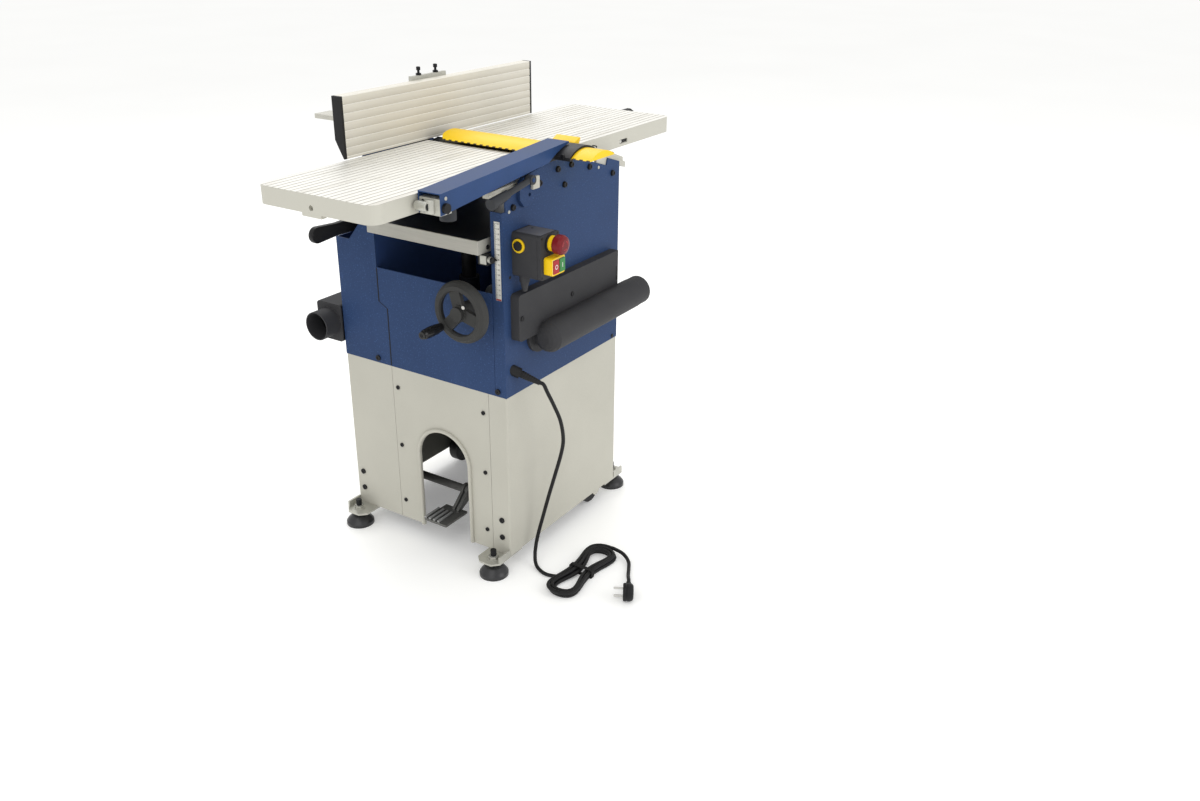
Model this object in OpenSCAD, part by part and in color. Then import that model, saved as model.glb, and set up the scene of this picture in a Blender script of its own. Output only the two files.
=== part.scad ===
// Combination planer thicknesser on a sheet-metal stand.
// Frame: floor level at the middle of the stand, X along the tables, -Y the operator's side, Z up.

/* [Stand] */
// Length of the stand and body along the tables
stand_l = 416; // [400:2:440]
// Width of the stand and body across the tables
stand_w = 434; // [426:2:450]
// Height of the stand's sheet panels
stand_h = 367; // [350:1:380]
// Height of the stand's lower edge above the floor
foot_lift = 38; // [36:1:44]
// Thickness of the stand's folded sheet
sheet = 2; // [1.5:0.5:2.5]
// Width of the arch over the foot pedal
arch_w = 130; // [110:2:140]
// Height of the arch above the stand's lower edge
arch_h = 245; // [200:1:280]
// Diameter of a levelling pad
pad_d = 62; // [50:1:66]

/* [Body] */
// Height of the planing tables above the floor
table_height = 852; // [846:1:870]
// Thickness of the body's side plates
plate_t = 3; // [2:0.5:4]
// Width of the folded column beside the throat
column_w = 27; // [22:1:30]
// Height of the control box
box_h = 86; // [80:1:92]
// Outer diameter of the dust tubes
tube_d = 63; // [58:1:66]

/* [Tables] */
// Length over both planing tables
table_l = 1000; // [960:10:1040]
// Width of the planing tables
table_w = 277; // [270:1:280]
// Depth of a planing table's casting
table_t = 34; // [30:1:36]
// Travel of the infeed table along its incline
infeed_travel = 8.8; // [5:0.1:10]

/* [Fence] */
// Length of the fence profile
fence_l = 598; // [560:2:640]
// Height of the fence profile
fence_h = 117; // [100:1:125]
// Thickness of the fence profile
fence_t = 22; // [20:1:24]

/* [Guard] */
// Width of the bridge guard strip
strip_w = 88; // [80:1:92]
// Length of the bridge guard strip
strip_l = 373; // [360:1:380]
// Rise of the bridge guard's crown
strip_rise = 14; // [12:1:15]

/* [Thicknesser] */
// Gap under the cutterhead at rest
throat_gap = 60; // [50:1:80]
// Diameter of the handwheel
wheel_d = 125; // [115:1:130]
// Length of the crank handle's grip
grip_l = 55; // [48:1:60]
// Cutting diameter of the cutterhead
cutter_d = 63; // [61:1:65]

/* [Hidden] */
$fn = 48;
// Clearances
over = 1;
slip = 0.3;
run = 0.05;
seam = 0.8;
// Main levels and faces
half_l = stand_l / 2;
half_w = stand_w / 2;
body_z = foot_lift + stand_h;
cutter_r = cutter_d / 2;
cutter_z = table_height - cutter_r;
crest_drop = 2;
body_h = table_height - crest_drop - body_z;
table_offset = -38.5;
table_front = table_offset - table_w / 2;
table_back = table_offset + table_w / 2;
table_low = table_height - table_t;
inner_gap = 9;
inner_t = 6;
inner_y = table_back + inner_gap;
inner_out = inner_y + inner_t;
column_y = -half_w + column_w;
pan_t = 3;
pan_z = body_z + pan_t;
// Stand
fold_r = 4;
operator_return = 45;
rear_return = 130;
tab_w = 18;
arch_y = -47;
rim_w = 8;
rim_out = 4;
panel_lo = -half_w + operator_return + seam;
panel_hi = half_w - rear_return - seam;
boss_l = 10;
boss_wall = 6;
screw_r = 4.5;
screw_h = 2.4;
socket_r = 2;
socket_d = 1.2;
screw_margin = 46;
screw_in = 14;
corner_in = 20;
corner_lo = 40;
corner_pitch = 41;
// Feet
bracket_t = 4;
bracket_out = 52;
bracket_in = 40;
bracket_w = 58;
bracket_cut = 14;
flange_h = 14;
foot_out = 28;
foot_x = half_l + foot_out;
foot_y = half_w - bracket_w * 0.42;
pad_h = 24;
stud_r = 6;
stud_up = 22;
nut_r = 10.4;
nut_h = 8;
// Body sheet outlines as shares of the half length and of the body's height
operator_shares = [[-1, 0.847], [-0.94, 0.847], [-0.94, 0.888], [-0.58, 0.975], [-0.29, 0.995],
  [-0.08, 1], [0.48, 0.939], [0.755, 0.897], [0.78, 0.93], [1, 0.897]];
cover_shares = [[-1, 0.59], [-0.8, 0.59], [-0.58, 0.8], [-0.53, 0.97], [-0.08, 0.995], [0.48, 0.939],
  [1, 0.85]];
inner_shares = [[-1, 0.7], [-0.6, 0.93], [-0.3, 0.97], [0.3, 0.97], [0.6, 0.9], [1, 0.78]];
column_h = operator_shares[0][1] * body_h;
sill_z = body_z + body_h * 0.483;
kink_z = body_z + body_h * 0.29;
kink_h = 12;
kink_w = 22;
kink_y = inner_y - kink_w;
lever_gap_z = body_z + body_h * 0.59;
lever_gap_w = 37;
lever_gap_y = half_w - lever_gap_w;
flange_top = body_z + body_h * 0.672;
flange_slant = 30;
pad_raise = 1.2;
pad_w = 96;
pad_tall = 104;
body_bolt_r = 6;
body_bolt_h = 3;
// Bolts on the operator plate as shares of the half length and of the body's height
plate_bolt_shares = [[-0.42, 0.922], [-0.01, 0.878], [-0.12, 0.956], [0.106, 0.958], [0.428, 0.92],
  [0.86, 0.853], [-0.835, 0.857]];
sill_bolt_up = 11;
// Scale and pointer
scale_w = 13;
scale_t = 0.8;
scale_in = 5;
scale_lo = 10;
scale_h = 155;
// Cutterhead and feed
journal_r = 15;
cutter_boss_r = 29;
cutter_boss_l = 22;
roller_r = 13;
roller_journal = 7;
roller_reach = 75;
roller_z = cutter_z - cutter_r - slip + roller_r;
roller_boss_r = 13;
roller_boss_l = 12;
finger_gap = 40;
finger_x = -roller_reach - finger_gap;
finger_up = 2;
finger_z = roller_z + finger_up;
finger_r = 5;
finger_t = 5;
finger_pitch = 13;
finger_count = 20;
finger_drop = 16;
finger_top = 9;
finger_back = 15;
knife_w = 9;
knife_t = 4;
knife_out = 1.5;
body_cut_r = cutter_r - knife_out;
// Drive
belt_gap = 32;
belt_y = inner_out + belt_gap;
belt_w = 20;
belt_t = 4;
motor_x = 60;
motor_drop = 78;
motor_z = body_z - motor_drop;
motor_r = 66;
motor_y = -100;
motor_l = 190;
motor_shaft = 9.5;
motor_pulley = 34;
head_pulley = 25;
motor_seat = 45;
motor_bore = 35;
slot_side = 14;
// Lift
column_x = 90;
column_r = 15;
column_share = 0.46067;
column_l = body_h * column_share;
sleeve_r = 21;
sleeve_share = 0.42697;
sleeve_h = body_h * sleeve_share;
wheel_y = -148;
wheel_z = body_z + body_h * 0.411;
lead_in = 88;
lead_x = -half_l + lead_in;
lead_r = 9;
lead_share = 0.47191;
lead_l = body_h * lead_share;
gear_in = 14;
gear_out = 26;
post_r = 22;
post_bore = 12;
shaft_r = 8;
bush_r = 14;
bush_l = 14;
// Thicknesser table
thick_z = cutter_z - cutter_r - throat_gap;
thick_h = 27;
thick_out = 27;
thick_gap = 10;
thick_front = column_y + thick_gap;
thick_wall = 10;
thick_skin = 10;
pad_seat = 24;
pointer_w = 22;
pointer_h = 22;
pointer_out = 12;
// Handwheel
rim_r = wheel_d / 2;
// The rim's outline as shares of its radius and of its depth
rim_shares = [[0.7, 0.2], [0.74, 0], [0.87, 0], [0.96, 0.3], [1, 0.65], [1, 1], [0.9, 1], [0.72, 0.7]];
wheel_out = 57;
wheel_front = -half_l - wheel_out;
rim_l = 18;
hub_r = 17;
hub_l = 42;
hub_out = 5;
hub_cap = 14;
spoke_w = 25;
spoke_t = 9;
spoke_turn = -15;
crank_share = 0.85;
crank_turn = 40;
crank_y = crank_share * rim_r * cos(crank_turn);
crank_z = -crank_share * rim_r * sin(crank_turn);
crank_stud = 4;
crank_head = 7;
crank_cap = 3;
// Tables
lip_x = 38;
corner_r = 22;
table_skin = 9;
table_wall = 8;
rib_t = 7;
groove_w = 2;
groove_d = 0.6;
groove_n = 18;
groove_pitch = table_w / (groove_n + 1);
end_hole = 5;
end_hole_y = -34;
end_hole_drop = 24;
end_hole_z = table_height - end_hole_drop;
end_boss_w = 46;
end_boss_h = 6;
end_boss_l = 12;
incline = 20;
incline_rise = tan(incline);
way_gap = 0.3;
way_t = 12;
way_x = 122;
way_end = 237;
way_drop = 3;
way_top = table_height - way_drop;
ear_t = 9;
ear_in = 6;
ear_y = -half_w + plate_t + ear_in;
gusset_t = 6;
gusset_x = 96;
gusset_drop = 106;
gusset_low = table_height - gusset_drop;
rear_way_x = 110;
rear_way_end = 164;
rear_way_in = rear_way_x + infeed_travel;
rear_way_drop = 1;
rear_way_z = table_low - rear_way_drop;
rear_way_w = 20;
rear_way_y = table_back - rear_way_w;
ledge_gap = 14;
ledge_x = half_l - ledge_gap;
outfeed_ear_x = 105;
outfeed_ear_l = 128;
outfeed_ear_h = 12;
outfeed_ear_fall = 6;
ledge_l = 56;
ledge_t = 18;
ledge_in = 14;
slot_x = 274;
slot_l = 32;
slot_h = 9;
slot_d = 3;
knob_r = 19;
knob_l = 26;
knob_clear = 5.2;
knob_gap = infeed_travel + knob_clear;
knob_shaft = 6;
knob_in = 30;
knob_drop = 21;
knob_z = table_height - knob_drop;
knob_y = -40;
// Fence
fence_x = -272;
fence_y = table_back + slip;
fence_gap = 2;
fence_z = table_height + fence_gap;
fence_wall = 3;
cap_t = 6;
fence_groove = 0.7;
fence_band = 16;
fence_band_up = 5;
hinge_in = 15;
hinge_up = 9;
hinge_y = fence_y + hinge_in;
hinge_z = fence_z + hinge_up;
hinge_r = 5;
hinge_pin = 3;
bar_x = -22;
bar_w = 48;
bar_t = 10;
bar_out = 225;
bar_end = half_w + bar_out;
ear_gap = 2;
ear_w = 12;
ear_h = 26;
bracket_rise = 8;
back_y = fence_y + fence_t;
bracket_back = 8;
bracket_side = 16;
bracket_deep = 34;
rail_l = 45;
rail_side = 20;
rail_h = 40;
rail_cap = 8;
// Guard
strip_gap = 7;
strip_z = table_height + strip_gap;
strip_x = strip_w / 2;
strip_r = (strip_x * strip_x + strip_rise * strip_rise) / (2 * strip_rise);
strip_axis = strip_z + strip_rise - strip_r;
strip_wall = 3;
strip_cap = 3;
strip_out = 89;
strip_end = -half_w - strip_out;
tip_r = 22;
holder_t = 4;
holder_out = 45;
holder_y = -half_w - holder_out;
holder_gap = 4;
holder_in = table_front - holder_gap;
holder_hook = 7;
arm_w = 50;
arm_gap = 3;
arm_y = table_front - arm_gap - arm_w;
arm_t = 2;
arm_in = 108;
arm_near = -table_l / 2 + arm_in;
arm_far = -4;
arm_up = 6;
arm_near_top = table_height + arm_up;
arm_over = 10;
arm_far_top = strip_z + strip_rise + arm_over;
arm_down = 32;
arm_near_low = table_height - arm_down;
arm_side = 8;
arm_cut = -strip_x - arm_side;
arm_cut_z = strip_z + strip_rise * 0.36;
arm_mid = -strip_x * 0.6;
arm_mid_z = strip_z + strip_rise * 1.09;
pivot_in = 10;
pivot_x = arm_near + pivot_in;
pivot_drop = 20;
pivot_z = table_height - pivot_drop;
pivot_r = 6;
pivot_head = 9;
pivot_head_l = 6;
pivot_l = 30;
pivot_end = arm_near + pivot_l;
pivot_deep = 13;
pivot_low = pivot_z - pivot_deep;
pivot_rise = 16;
pivot_top = pivot_z + pivot_rise;
lug_l = 20;
lug_x = arm_cut - lug_l;
lug_h = 10;
lug_z = strip_z - lug_h / 10;
height_knob_r = 15;
height_knob_l = 32;
height_knob_gap = 2;
height_knob_x = pivot_end + height_knob_r + height_knob_gap;
height_stem = 5;
height_stem_l = 26;
// Clamp lever
clamp_x = -138;
clamp_drop = 18;
clamp_z = table_height - clamp_drop;
clamp_out = 17;
clamp_y = -half_w - clamp_out;
clamp_hub = 9;
clamp_w = 14;
clamp_pin = 4;
clamp_neck = 6;
clamp_neck_l = 74;
clamp_grip = 11;
clamp_grip_l = 52;
clamp_tilt = 10;
clamp_side = 8;
clamp_low = 52;
clamp_len = 22;
clamp_back = 26;
// Feed lever
feed_in = 58;
feed_x = -half_l + feed_in;
feed_z = body_z + body_h * 0.645;
feed_side = 30;
feed_y = half_w - feed_side;
feed_w = 12;
feed_h = 34;
feed_l = 150;
feed_shaft = 8;
feed_boss = 14;
// Control box
box_in = 29;
box_x = -half_l + box_in;
box_l = 61;
box_d = 67;
box_z = body_z + body_h * 0.5618;
box_r = 5;
box_wall = 3;
lid_d = 8;
groove = 0.8;
box_gland_r = 10;
box_gland_l = 11;
box_gland_tip = 5;
box_gland_taper = 19;
stop_x = box_x + box_l * 0.52;
stop_z = box_z + box_h * 0.79;
collar_r = 15;
collar_l = 16;
stem_r = 10;
stem_in = 6;
head_r = 19;
head_l = 20;
head_gap = 14;
press = 5;
frame_w = 44;
frame_h = 34;
frame_d = 18;
key_w = 17;
key_h = 26;
key_gap = 3;
key_deep = 9;
key_out = 3;
key_travel = 3;
switch_z = box_z + box_h * 0.31;
ring_r = 13.5;
ring_l = 3;
reset_r = 9;
reset_out = 3;
reset_travel = 2;
reset_back = 17;
reset_y = -half_w - reset_back;
reset_z = box_z + box_h * 0.714;
// Ducts
tube_r = tube_d / 2;
tube_wall = 2.5;
tube_bore = tube_r - tube_wall;
tube_gap = 3;
elbow_r = tube_r + tube_gap;
elbow_x = -61;
tube_y = -half_w - elbow_r;
tube_out = 34;
tube_end = half_l + tube_out;
tube_step = 0.8;
nose_r = tube_r + tube_step;
nose_shares = [[0, 1], [0.42, 1], [0.7, 0.9], [0.88, 0.72], [1, 0.45]];
tube_step_in = 2;
cover_x = -187;
cover_l = 364;
cover_gap = 6;
cover_share = 0.21573;
cover_h = body_h * cover_share;
cover_z = box_z - box_gland_l - box_gland_taper - cover_gap - cover_h;
tube_drop = 9;
tube_z = cover_z - tube_drop;
cover_d = 20;
cover_r = 8;
cover_wall = 3;
flange_w = 10;
flange_r = tube_r + flange_w;
flange_t = 6;
rear_tube_up = 69;
rear_tube_z = body_z + rear_tube_up;
rear_duct_out = 6;
rear_duct_x = half_l + rear_duct_out;
rear_duct_l = 300;
rear_duct_h = 84;
rear_duct_d = 70;
spigot_l = 40;
rear_hole_x = -20;
rear_hole_r = 25;
// Pedal and wheels
pedal_x = -120;
pedal_up = 62;
pedal_z = foot_lift + pedal_up;
pedal_shaft = 9;
pedal_y = -56;
pedal_w = 60;
pedal_out = 18;
pedal_front = -half_l - pedal_out;
pedal_l = 74;
pedal_t = 5;
pedal_rise = 24;
pedal_low = foot_lift + pedal_rise;
pedal_rib = 5;
pedal_rib_l = 46;
pedal_rib_h = 5;
pedal_hub = 15;
pedal_arm_in = 13;
axle_x = 131;
axle_r = 8;
wheel_r = 36;
wheel_lift = 5;
axle_z = wheel_r + wheel_lift;
wheel_w = 22;
wheel_in = 16;
// Cord
cord_d = 8;
cord_r = cord_d / 2;
cord_sides = 8;
relief_x = -182;
relief_up = 53;
relief_at = [relief_x, -half_w, body_z + relief_up];
relief_tilt = 116;
relief_turn = -60;
gland_r = 11;
gland_l = 14;
relief_l = 44;
relief_r = 7.5;
hank_d = 8;
hank_sides = 6;
hank_rings = 24;
hank_at = [-135, -352, 0];
hank_loops = 4.25;
hank_half = 2;
hank_len = 84;
hank_step = 9.2;
hank_waist = 5.6;
hank_lobe = 46;
hank_layer = 8.6;
hank_base = 4.6;
// Route of the free cord down to the hank, and from the hank to the plug
drop_route = [[-149, -276, 411], [-141, -284, 385], [-128, -292, 345], [-118, -292, 300], [-117, -286, 264],
  [-121, -274, 215], [-126, -260, 160], [-132, -249, 110], [-140, -243, 74], [-147, -240, 44],
  [-156, -243, 20], [-168, -254, 8], [-178, -272, 4.6], [-183, -294, 4.6], [-174, -318, 4.6]];
plug_route = [[-34, -392, 11], [-48, -414, 7], [-70, -428, 5], [-92, -440, 6]];
plug_at = [-162, -482, 19];
plug_turn = 30;
plug_r = 19;
plug_l = 22;
plug_neck = 32;
plug_neck_r = 8;
plug_neck_z = 10;
pin_r = 2.4;
pin_l = 19;
pin_pitch = 19;

// A rectangle with round corners about the origin
module rounded_rect(l, w, r) {
  square([l - 2 * r, w], center = true);
  square([l, w - 2 * r], center = true);
  for (x = [-1, 1], y = [-1, 1])
    translate([x * (l / 2 - r), y * (w / 2 - r)])
      circle(r);
}

// An outline in Y and Z carried along X
module along_x(x, len) translate([x, 0, 0]) rotate([90, 0, 90]) linear_extrude(len) children();

// An outline in X and Z carried along Y
module along_y(y, len) translate([0, y + len, 0]) rotate([90, 0, 0]) linear_extrude(len) children();

// Round bars along the three axes
module rod_x(x, y, z, r, len) translate([x, y, z]) rotate([0, 90, 0]) cylinder(r = r, h = len);

module rod_y(x, y, z, r, len) translate([x, y + len, z]) rotate([90, 0, 0]) cylinder(r = r, h = len);

module rod_z(x, y, z, r, len) translate([x, y, z]) cylinder(r = r, h = len);

// A box between two corners
module block(lo, hi) translate(lo) cube(hi - lo);

// The same piece at all four corners
module four_corners() for (sx = [0, 1], sy = [0, 1]) mirror([sx, 0, 0]) mirror([0, sy, 0]) children();

// The folded ring of the stand in plan
module stand_ring() {
  difference() {
    rounded_rect(stand_l, stand_w, fold_r);
    rounded_rect(stand_l - 2 * sheet, stand_w - 2 * sheet, fold_r - sheet);
  }
}

// A bearing boss on the inner face of a stand panel
module stand_boss(side, x, z, r) {
  y = side > 0 ? half_w - sheet - boss_l : -half_w + sheet / 2;
  difference() {
    rod_y(x, y, z, r + boss_wall, boss_l + sheet / 2);
    rod_y(x, side > 0 ? y - over : y + sheet / 2, z, r + run, boss_l + over);
  }
}

// A side panel of the stand with its two folded returns and joggled tabs
module stand_side(side, width) {
  lip = side * (half_w - width);
  color("#C6C4B8") {
    translate([0, 0, foot_lift])
      linear_extrude(stand_h) {
        intersection() {
          stand_ring();
          translate([-half_l, side > 0 ? lip : -half_w])
            square([stand_l, width]);
        }
        for (end = [-1, 1])
          translate([end * (half_l - 1.5 * sheet), lip])
            square([sheet, 2 * tab_w], center = true);
      }
    stand_boss(side, pedal_x, pedal_z, pedal_shaft);
    stand_boss(side, axle_x, axle_z, axle_r);
  }
}

module stand_operator_panel() stand_side(-1, operator_return);

module stand_rear_panel() stand_side(1, rear_return);

// The arch outline in Y and Z
module arch_outline(w) {
  spring = foot_lift + arch_h - arch_w / 2;
  translate([arch_y, spring])
    circle(w / 2);
  translate([arch_y - w / 2, 0])
    square([w, spring]);
}

// The centre panel outline of an end of the stand
module end_outline() {
  translate([panel_lo, foot_lift])
    square([panel_hi - panel_lo, stand_h]);
}

module stand_arch_panel() {
  color("#C6C4B8") {
    along_x(-half_l, sheet)
      difference() {
        end_outline();
        arch_outline(arch_w);
      }
    along_x(-half_l - rim_out, rim_out + sheet / 2)
      intersection() {
        difference() {
          arch_outline(arch_w + 2 * rim_w);
          arch_outline(arch_w);
        }
        end_outline();
      }
  }
}

module stand_end_panel() {
  color("#C6C4B8")
    along_x(half_l - sheet, sheet)
      end_outline();
}

module foot_brackets() {
  out = half_l + bracket_out;
  color("#B9B8AE")
    four_corners()
      difference() {
        union() {
          translate([0, 0, foot_lift - bracket_t])
            linear_extrude(bracket_t)
              polygon([[half_l - bracket_in, half_w - bracket_w], [out - bracket_cut, half_w - bracket_w],
                [out, half_w - bracket_w + bracket_cut], [out, half_w - bracket_cut],
                [out - bracket_cut, half_w], [half_l - bracket_in, half_w]]);
          block([half_l + seam, half_w - bracket_t, foot_lift - bracket_t],
            [out - bracket_cut, half_w, foot_lift + flange_h]);
        }
        rod_z(foot_x, foot_y, foot_lift - bracket_t - over, stud_r + run, bracket_t + 2 * over);
      }
}

module foot_pads() {
  r = pad_d / 2;
  color("#2B2B2C")
    four_corners()
      translate([foot_x, foot_y, 0])
        rotate_extrude()
          polygon([[0, 0], [r, 0], [r, pad_h * 0.3], [r * 0.86, pad_h * 0.55], [r * 0.6, pad_h * 0.85],
            [r * 0.42, pad_h], [0, pad_h]]);
}

// A round socket screw head standing on a face, its axis along Z
module screw_head(r, h) {
  difference() {
    cylinder(r = r, h = h);
    translate([0, 0, h - socket_d])
      cylinder(r = socket_r, h = socket_d + over);
  }
}

module frame_bolts() {
  color("#3A3A3C") {
    four_corners()
      translate([foot_x, foot_y, 0]) {
        rod_z(0, 0, pad_h, stud_r, foot_lift + stud_up - pad_h);
        translate([0, 0, foot_lift])
          cylinder(r = nut_r, h = nut_h, $fn = 6);
        translate([0, 0, foot_lift - bracket_t - nut_h])
          cylinder(r = nut_r, h = nut_h, $fn = 6);
      }
    for (i = [0 : 2], y = [panel_lo + screw_in, panel_hi - screw_in])
      translate([-half_l, y, foot_lift + screw_margin + i * (stand_h - 2 * screw_margin) / 2])
        rotate([0, -90, 0])
          screw_head(screw_r, screw_h);
    for (i = [0, 1], side = [-1, 1])
      translate([-half_l, side * (half_w - corner_in), foot_lift + corner_lo + i * corner_pitch])
        rotate([0, -90, 0])
          screw_head(body_bolt_r, body_bolt_h);
    for (y = [column_y - column_w / 4, inner_y + column_w / 2])
      translate([-half_l, y, body_z + sill_bolt_up])
        rotate([0, -90, 0])
          screw_head(body_bolt_r, body_bolt_h);
    for (p = plate_bolt_shares)
      translate([p[0] * half_l, -half_w, body_z + p[1] * body_h])
        rotate([90, 0, 0])
          screw_head(body_bolt_r, body_bolt_h);
    rod_y(pivot_x, arm_y - over, pivot_z, pivot_r, table_front - arm_y + over);
    rod_y(pivot_x, arm_y - over - pivot_head_l, pivot_z, pivot_head, pivot_head_l);
  }
}

// A side outline built on the body's base from shares of its half length and height
module body_outline(shares, half) {
  polygon(concat([[-half, body_z]], [for (p = shares) [p[0] * half, body_z + p[1] * body_h]],
    [[half, body_z]]));
}

// A bored boss standing on the inner face of the operator plate
module plate_boss(x, z, r, bore, len) {
  difference() {
    rod_y(x, -half_w + plate_t / 2, z, r, len + plate_t / 2);
    rod_y(x, -half_w + plate_t, z, bore + run, len + over);
  }
}

module operator_side_plate() {
  color("#33486E") {
    along_y(-half_w, plate_t)
      difference() {
        body_outline(operator_shares, half_l);
        translate([elbow_x - elbow_r, tube_z])
          circle(tube_bore);
      }
    block([-half_l, -half_w, body_z], [-half_l + plate_t, column_y, body_z + column_h]);
    block([half_l - plate_t, -half_w, body_z], [half_l, column_y, body_z + column_h]);
    plate_boss(0, cutter_z, cutter_boss_r, journal_r, cutter_boss_l);
    for (side = [-1, 1])
      plate_boss(side * roller_reach, roller_z, roller_boss_r, roller_journal, roller_boss_l);
    plate_boss(finger_x, finger_z, finger_r + boss_wall, finger_r, roller_boss_l);
  }
}

module inner_side_plate() {
  half = half_l - plate_t;
  color("#33486E")
    difference() {
      union() {
        along_y(inner_y, inner_t)
          intersection() {
            body_outline(inner_shares, half);
            translate([-half, pan_z])
              square([2 * half, body_h]);
          }
        rod_y(0, inner_y + inner_t / 2, cutter_z, cutter_boss_r - boss_wall,
          inner_t / 2 + cutter_boss_l / 2);
      }
      rod_y(0, inner_y - over, cutter_z, journal_r + run, inner_t + cutter_boss_l);
      for (side = [-1, 1])
        rod_y(side * roller_reach, inner_y - over, roller_z, roller_journal + run, inner_t + 2 * over);
      rod_y(finger_x, inner_y - over, finger_z, finger_r + run, inner_t + 2 * over);
      rod_y(feed_x, inner_y - over, feed_z, feed_shaft + run, inner_t + 2 * over);
    }
}

module drive_cover() {
  color("#33486E") {
    along_y(half_w - plate_t, plate_t)
      difference() {
        body_outline(cover_shares, half_l);
        translate([rear_hole_x, rear_tube_z])
          circle(rear_hole_r);
      }
    along_x(-half_l, plate_t)
      polygon([[half_w, body_z], [half_w, lever_gap_z], [lever_gap_y, lever_gap_z],
        [lever_gap_y - flange_slant, flange_top], [inner_y, flange_top], [inner_y, kink_z + kink_h],
        [kink_y, kink_z], [kink_y, body_z]]);
    block([half_l - plate_t, inner_y, body_z], [half_l, half_w, body_z + cover_shares[6][1] * body_h]);
    difference() {
      rod_y(feed_x, half_w - plate_t - boss_l, feed_z, feed_boss, boss_l + plate_t / 2);
      rod_y(feed_x, half_w - plate_t - boss_l - over, feed_z, feed_shaft + run, boss_l + over);
    }
  }
}

module front_panel() {
  lo = column_y + seam;
  color("#33486E")
    difference() {
      union() {
        along_x(-half_l, plate_t)
          polygon([[lo, body_z], [kink_y - seam, body_z], [kink_y - seam, kink_z],
            [inner_y - seam, kink_z + kink_h], [inner_y - seam, sill_z], [lo, sill_z]]);
        along_x(-half_l - pad_raise, pad_raise + plate_t / 2)
          translate([max(wheel_y, lo + pad_w / 2), min(wheel_z, sill_z - pad_tall / 2)])
            rounded_rect(pad_w, pad_tall, corner_r);
        rod_x(-half_l, wheel_y, wheel_z, bush_r, bush_l);
      }
      rod_x(-half_l - pad_raise - over, wheel_y, wheel_z, shaft_r + run, bush_l + pad_raise + 2 * over);
    }
}

module end_panel() {
  color("#33486E")
    block([half_l - plate_t, column_y + seam, body_z], [half_l, inner_y - seam, sill_z]);
}

module base_pan() {
  color("#5A5C60") {
    difference() {
      block([-half_l + plate_t, -half_w + plate_t, body_z], [half_l - plate_t, half_w - plate_t, pan_z]);
      block([motor_x - motor_pulley - slot_side - belt_t, belt_y - slot_side, body_z - over],
        [motor_x + motor_pulley + slot_side, belt_y + belt_w + slot_side, pan_z + over]);
      rod_z(lead_x, wheel_y, body_z - over, post_bore, pan_t + 2 * over);
    }
    for (side = [-1, 1])
      difference() {
        rod_z(side * column_x, table_offset, body_z + pan_t / 2, sleeve_r, sleeve_h + pan_t / 2);
        rod_z(side * column_x, table_offset, pan_z, column_r + run, sleeve_h + over);
      }
    difference() {
      rod_z(lead_x, wheel_y, body_z + pan_t / 2, post_r, wheel_z - gear_out - slip - body_z - pan_t / 2);
      rod_z(lead_x, wheel_y, body_z, post_bore, wheel_z);
    }
  }
}

// A sloping slab in X and Z whose top edge starts at a point and falls with the incline
module slope(x, z, end, t) {
  drop = (end - x) * incline_rise;
  polygon([[x, z], [end, z - drop], [end, z - drop - t], [x, z - t]]);
}

module table_slides() {
  inner = -half_w + plate_t;
  color("#D6D4CA") {
    along_y(inner, min(table_front, thick_front) - inner - seam)
      slope(way_x, way_top - ear_t - way_gap, way_end, way_t);
    along_y(inner, gusset_t)
      polygon([[gusset_x + ear_w, gusset_low], [half_l - bracket_cut, gusset_low],
        [half_l - bracket_cut, way_top - ear_t - way_t - (half_l - bracket_cut - way_x) * incline_rise],
        [way_x, way_top - ear_t - way_t / 2], [way_x, way_top - bracket_w]]);
    along_y(rear_way_y, inner_y - rear_way_y)
      slope(rear_way_in, rear_way_z - way_gap - (rear_way_in - rear_way_x) * incline_rise, rear_way_end, way_t);
    block([-ledge_x, inner, table_low - ledge_t], [-ledge_x + ledge_l, table_front + ledge_in, table_low]);
    block([-ledge_x, table_back - ledge_in, table_low - ledge_t], [-ledge_x + ledge_l, inner_y, table_low]);
  }
}

module thickness_scale() {
  y = -half_w + scale_in;
  color("#D9D8D2")
    block([-half_l - scale_t, y, sill_z - scale_lo], [-half_l, y + scale_w, sill_z - scale_lo + scale_h]);
}

// The plan of a table from its lip to its rounded outer end, drawn in by a wall
module table_plan(len, wall) {
  r = corner_r - wall;
  w = table_w - 2 * wall;
  translate([wall, -w / 2])
    square([len - 2 * wall - r, w]);
  translate([wall, -w / 2 + r])
    square([len - 2 * wall, w - 2 * r]);
  for (side = [-1, 1])
    translate([len - wall - r, side * (w / 2 - r)])
      circle(r);
}

// A ribbed table casting along +X from its lip
module table_casting(len) {
  difference() {
    linear_extrude(table_t)
      table_plan(len, 0);
    translate([0, 0, -over])
      linear_extrude(table_t - table_skin + over)
        table_plan(len, table_wall);
    for (i = [1 : groove_n])
      translate([-over, -table_w / 2 + i * groove_pitch - groove_w / 2, table_t - groove_d])
        cube([len + 2 * over, groove_w, groove_d + over]);
  }
  for (i = [1 : 3])
    translate([i * len / 4 - rib_t / 2, -table_w / 2 + table_wall / 2, table_skin])
      cube([rib_t, table_w - table_wall, table_t - 1.5 * table_skin]);
  translate([table_wall / 2, -rib_t / 2, table_skin])
    cube([len - table_wall, rib_t, table_t - 1.5 * table_skin]);
}

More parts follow.
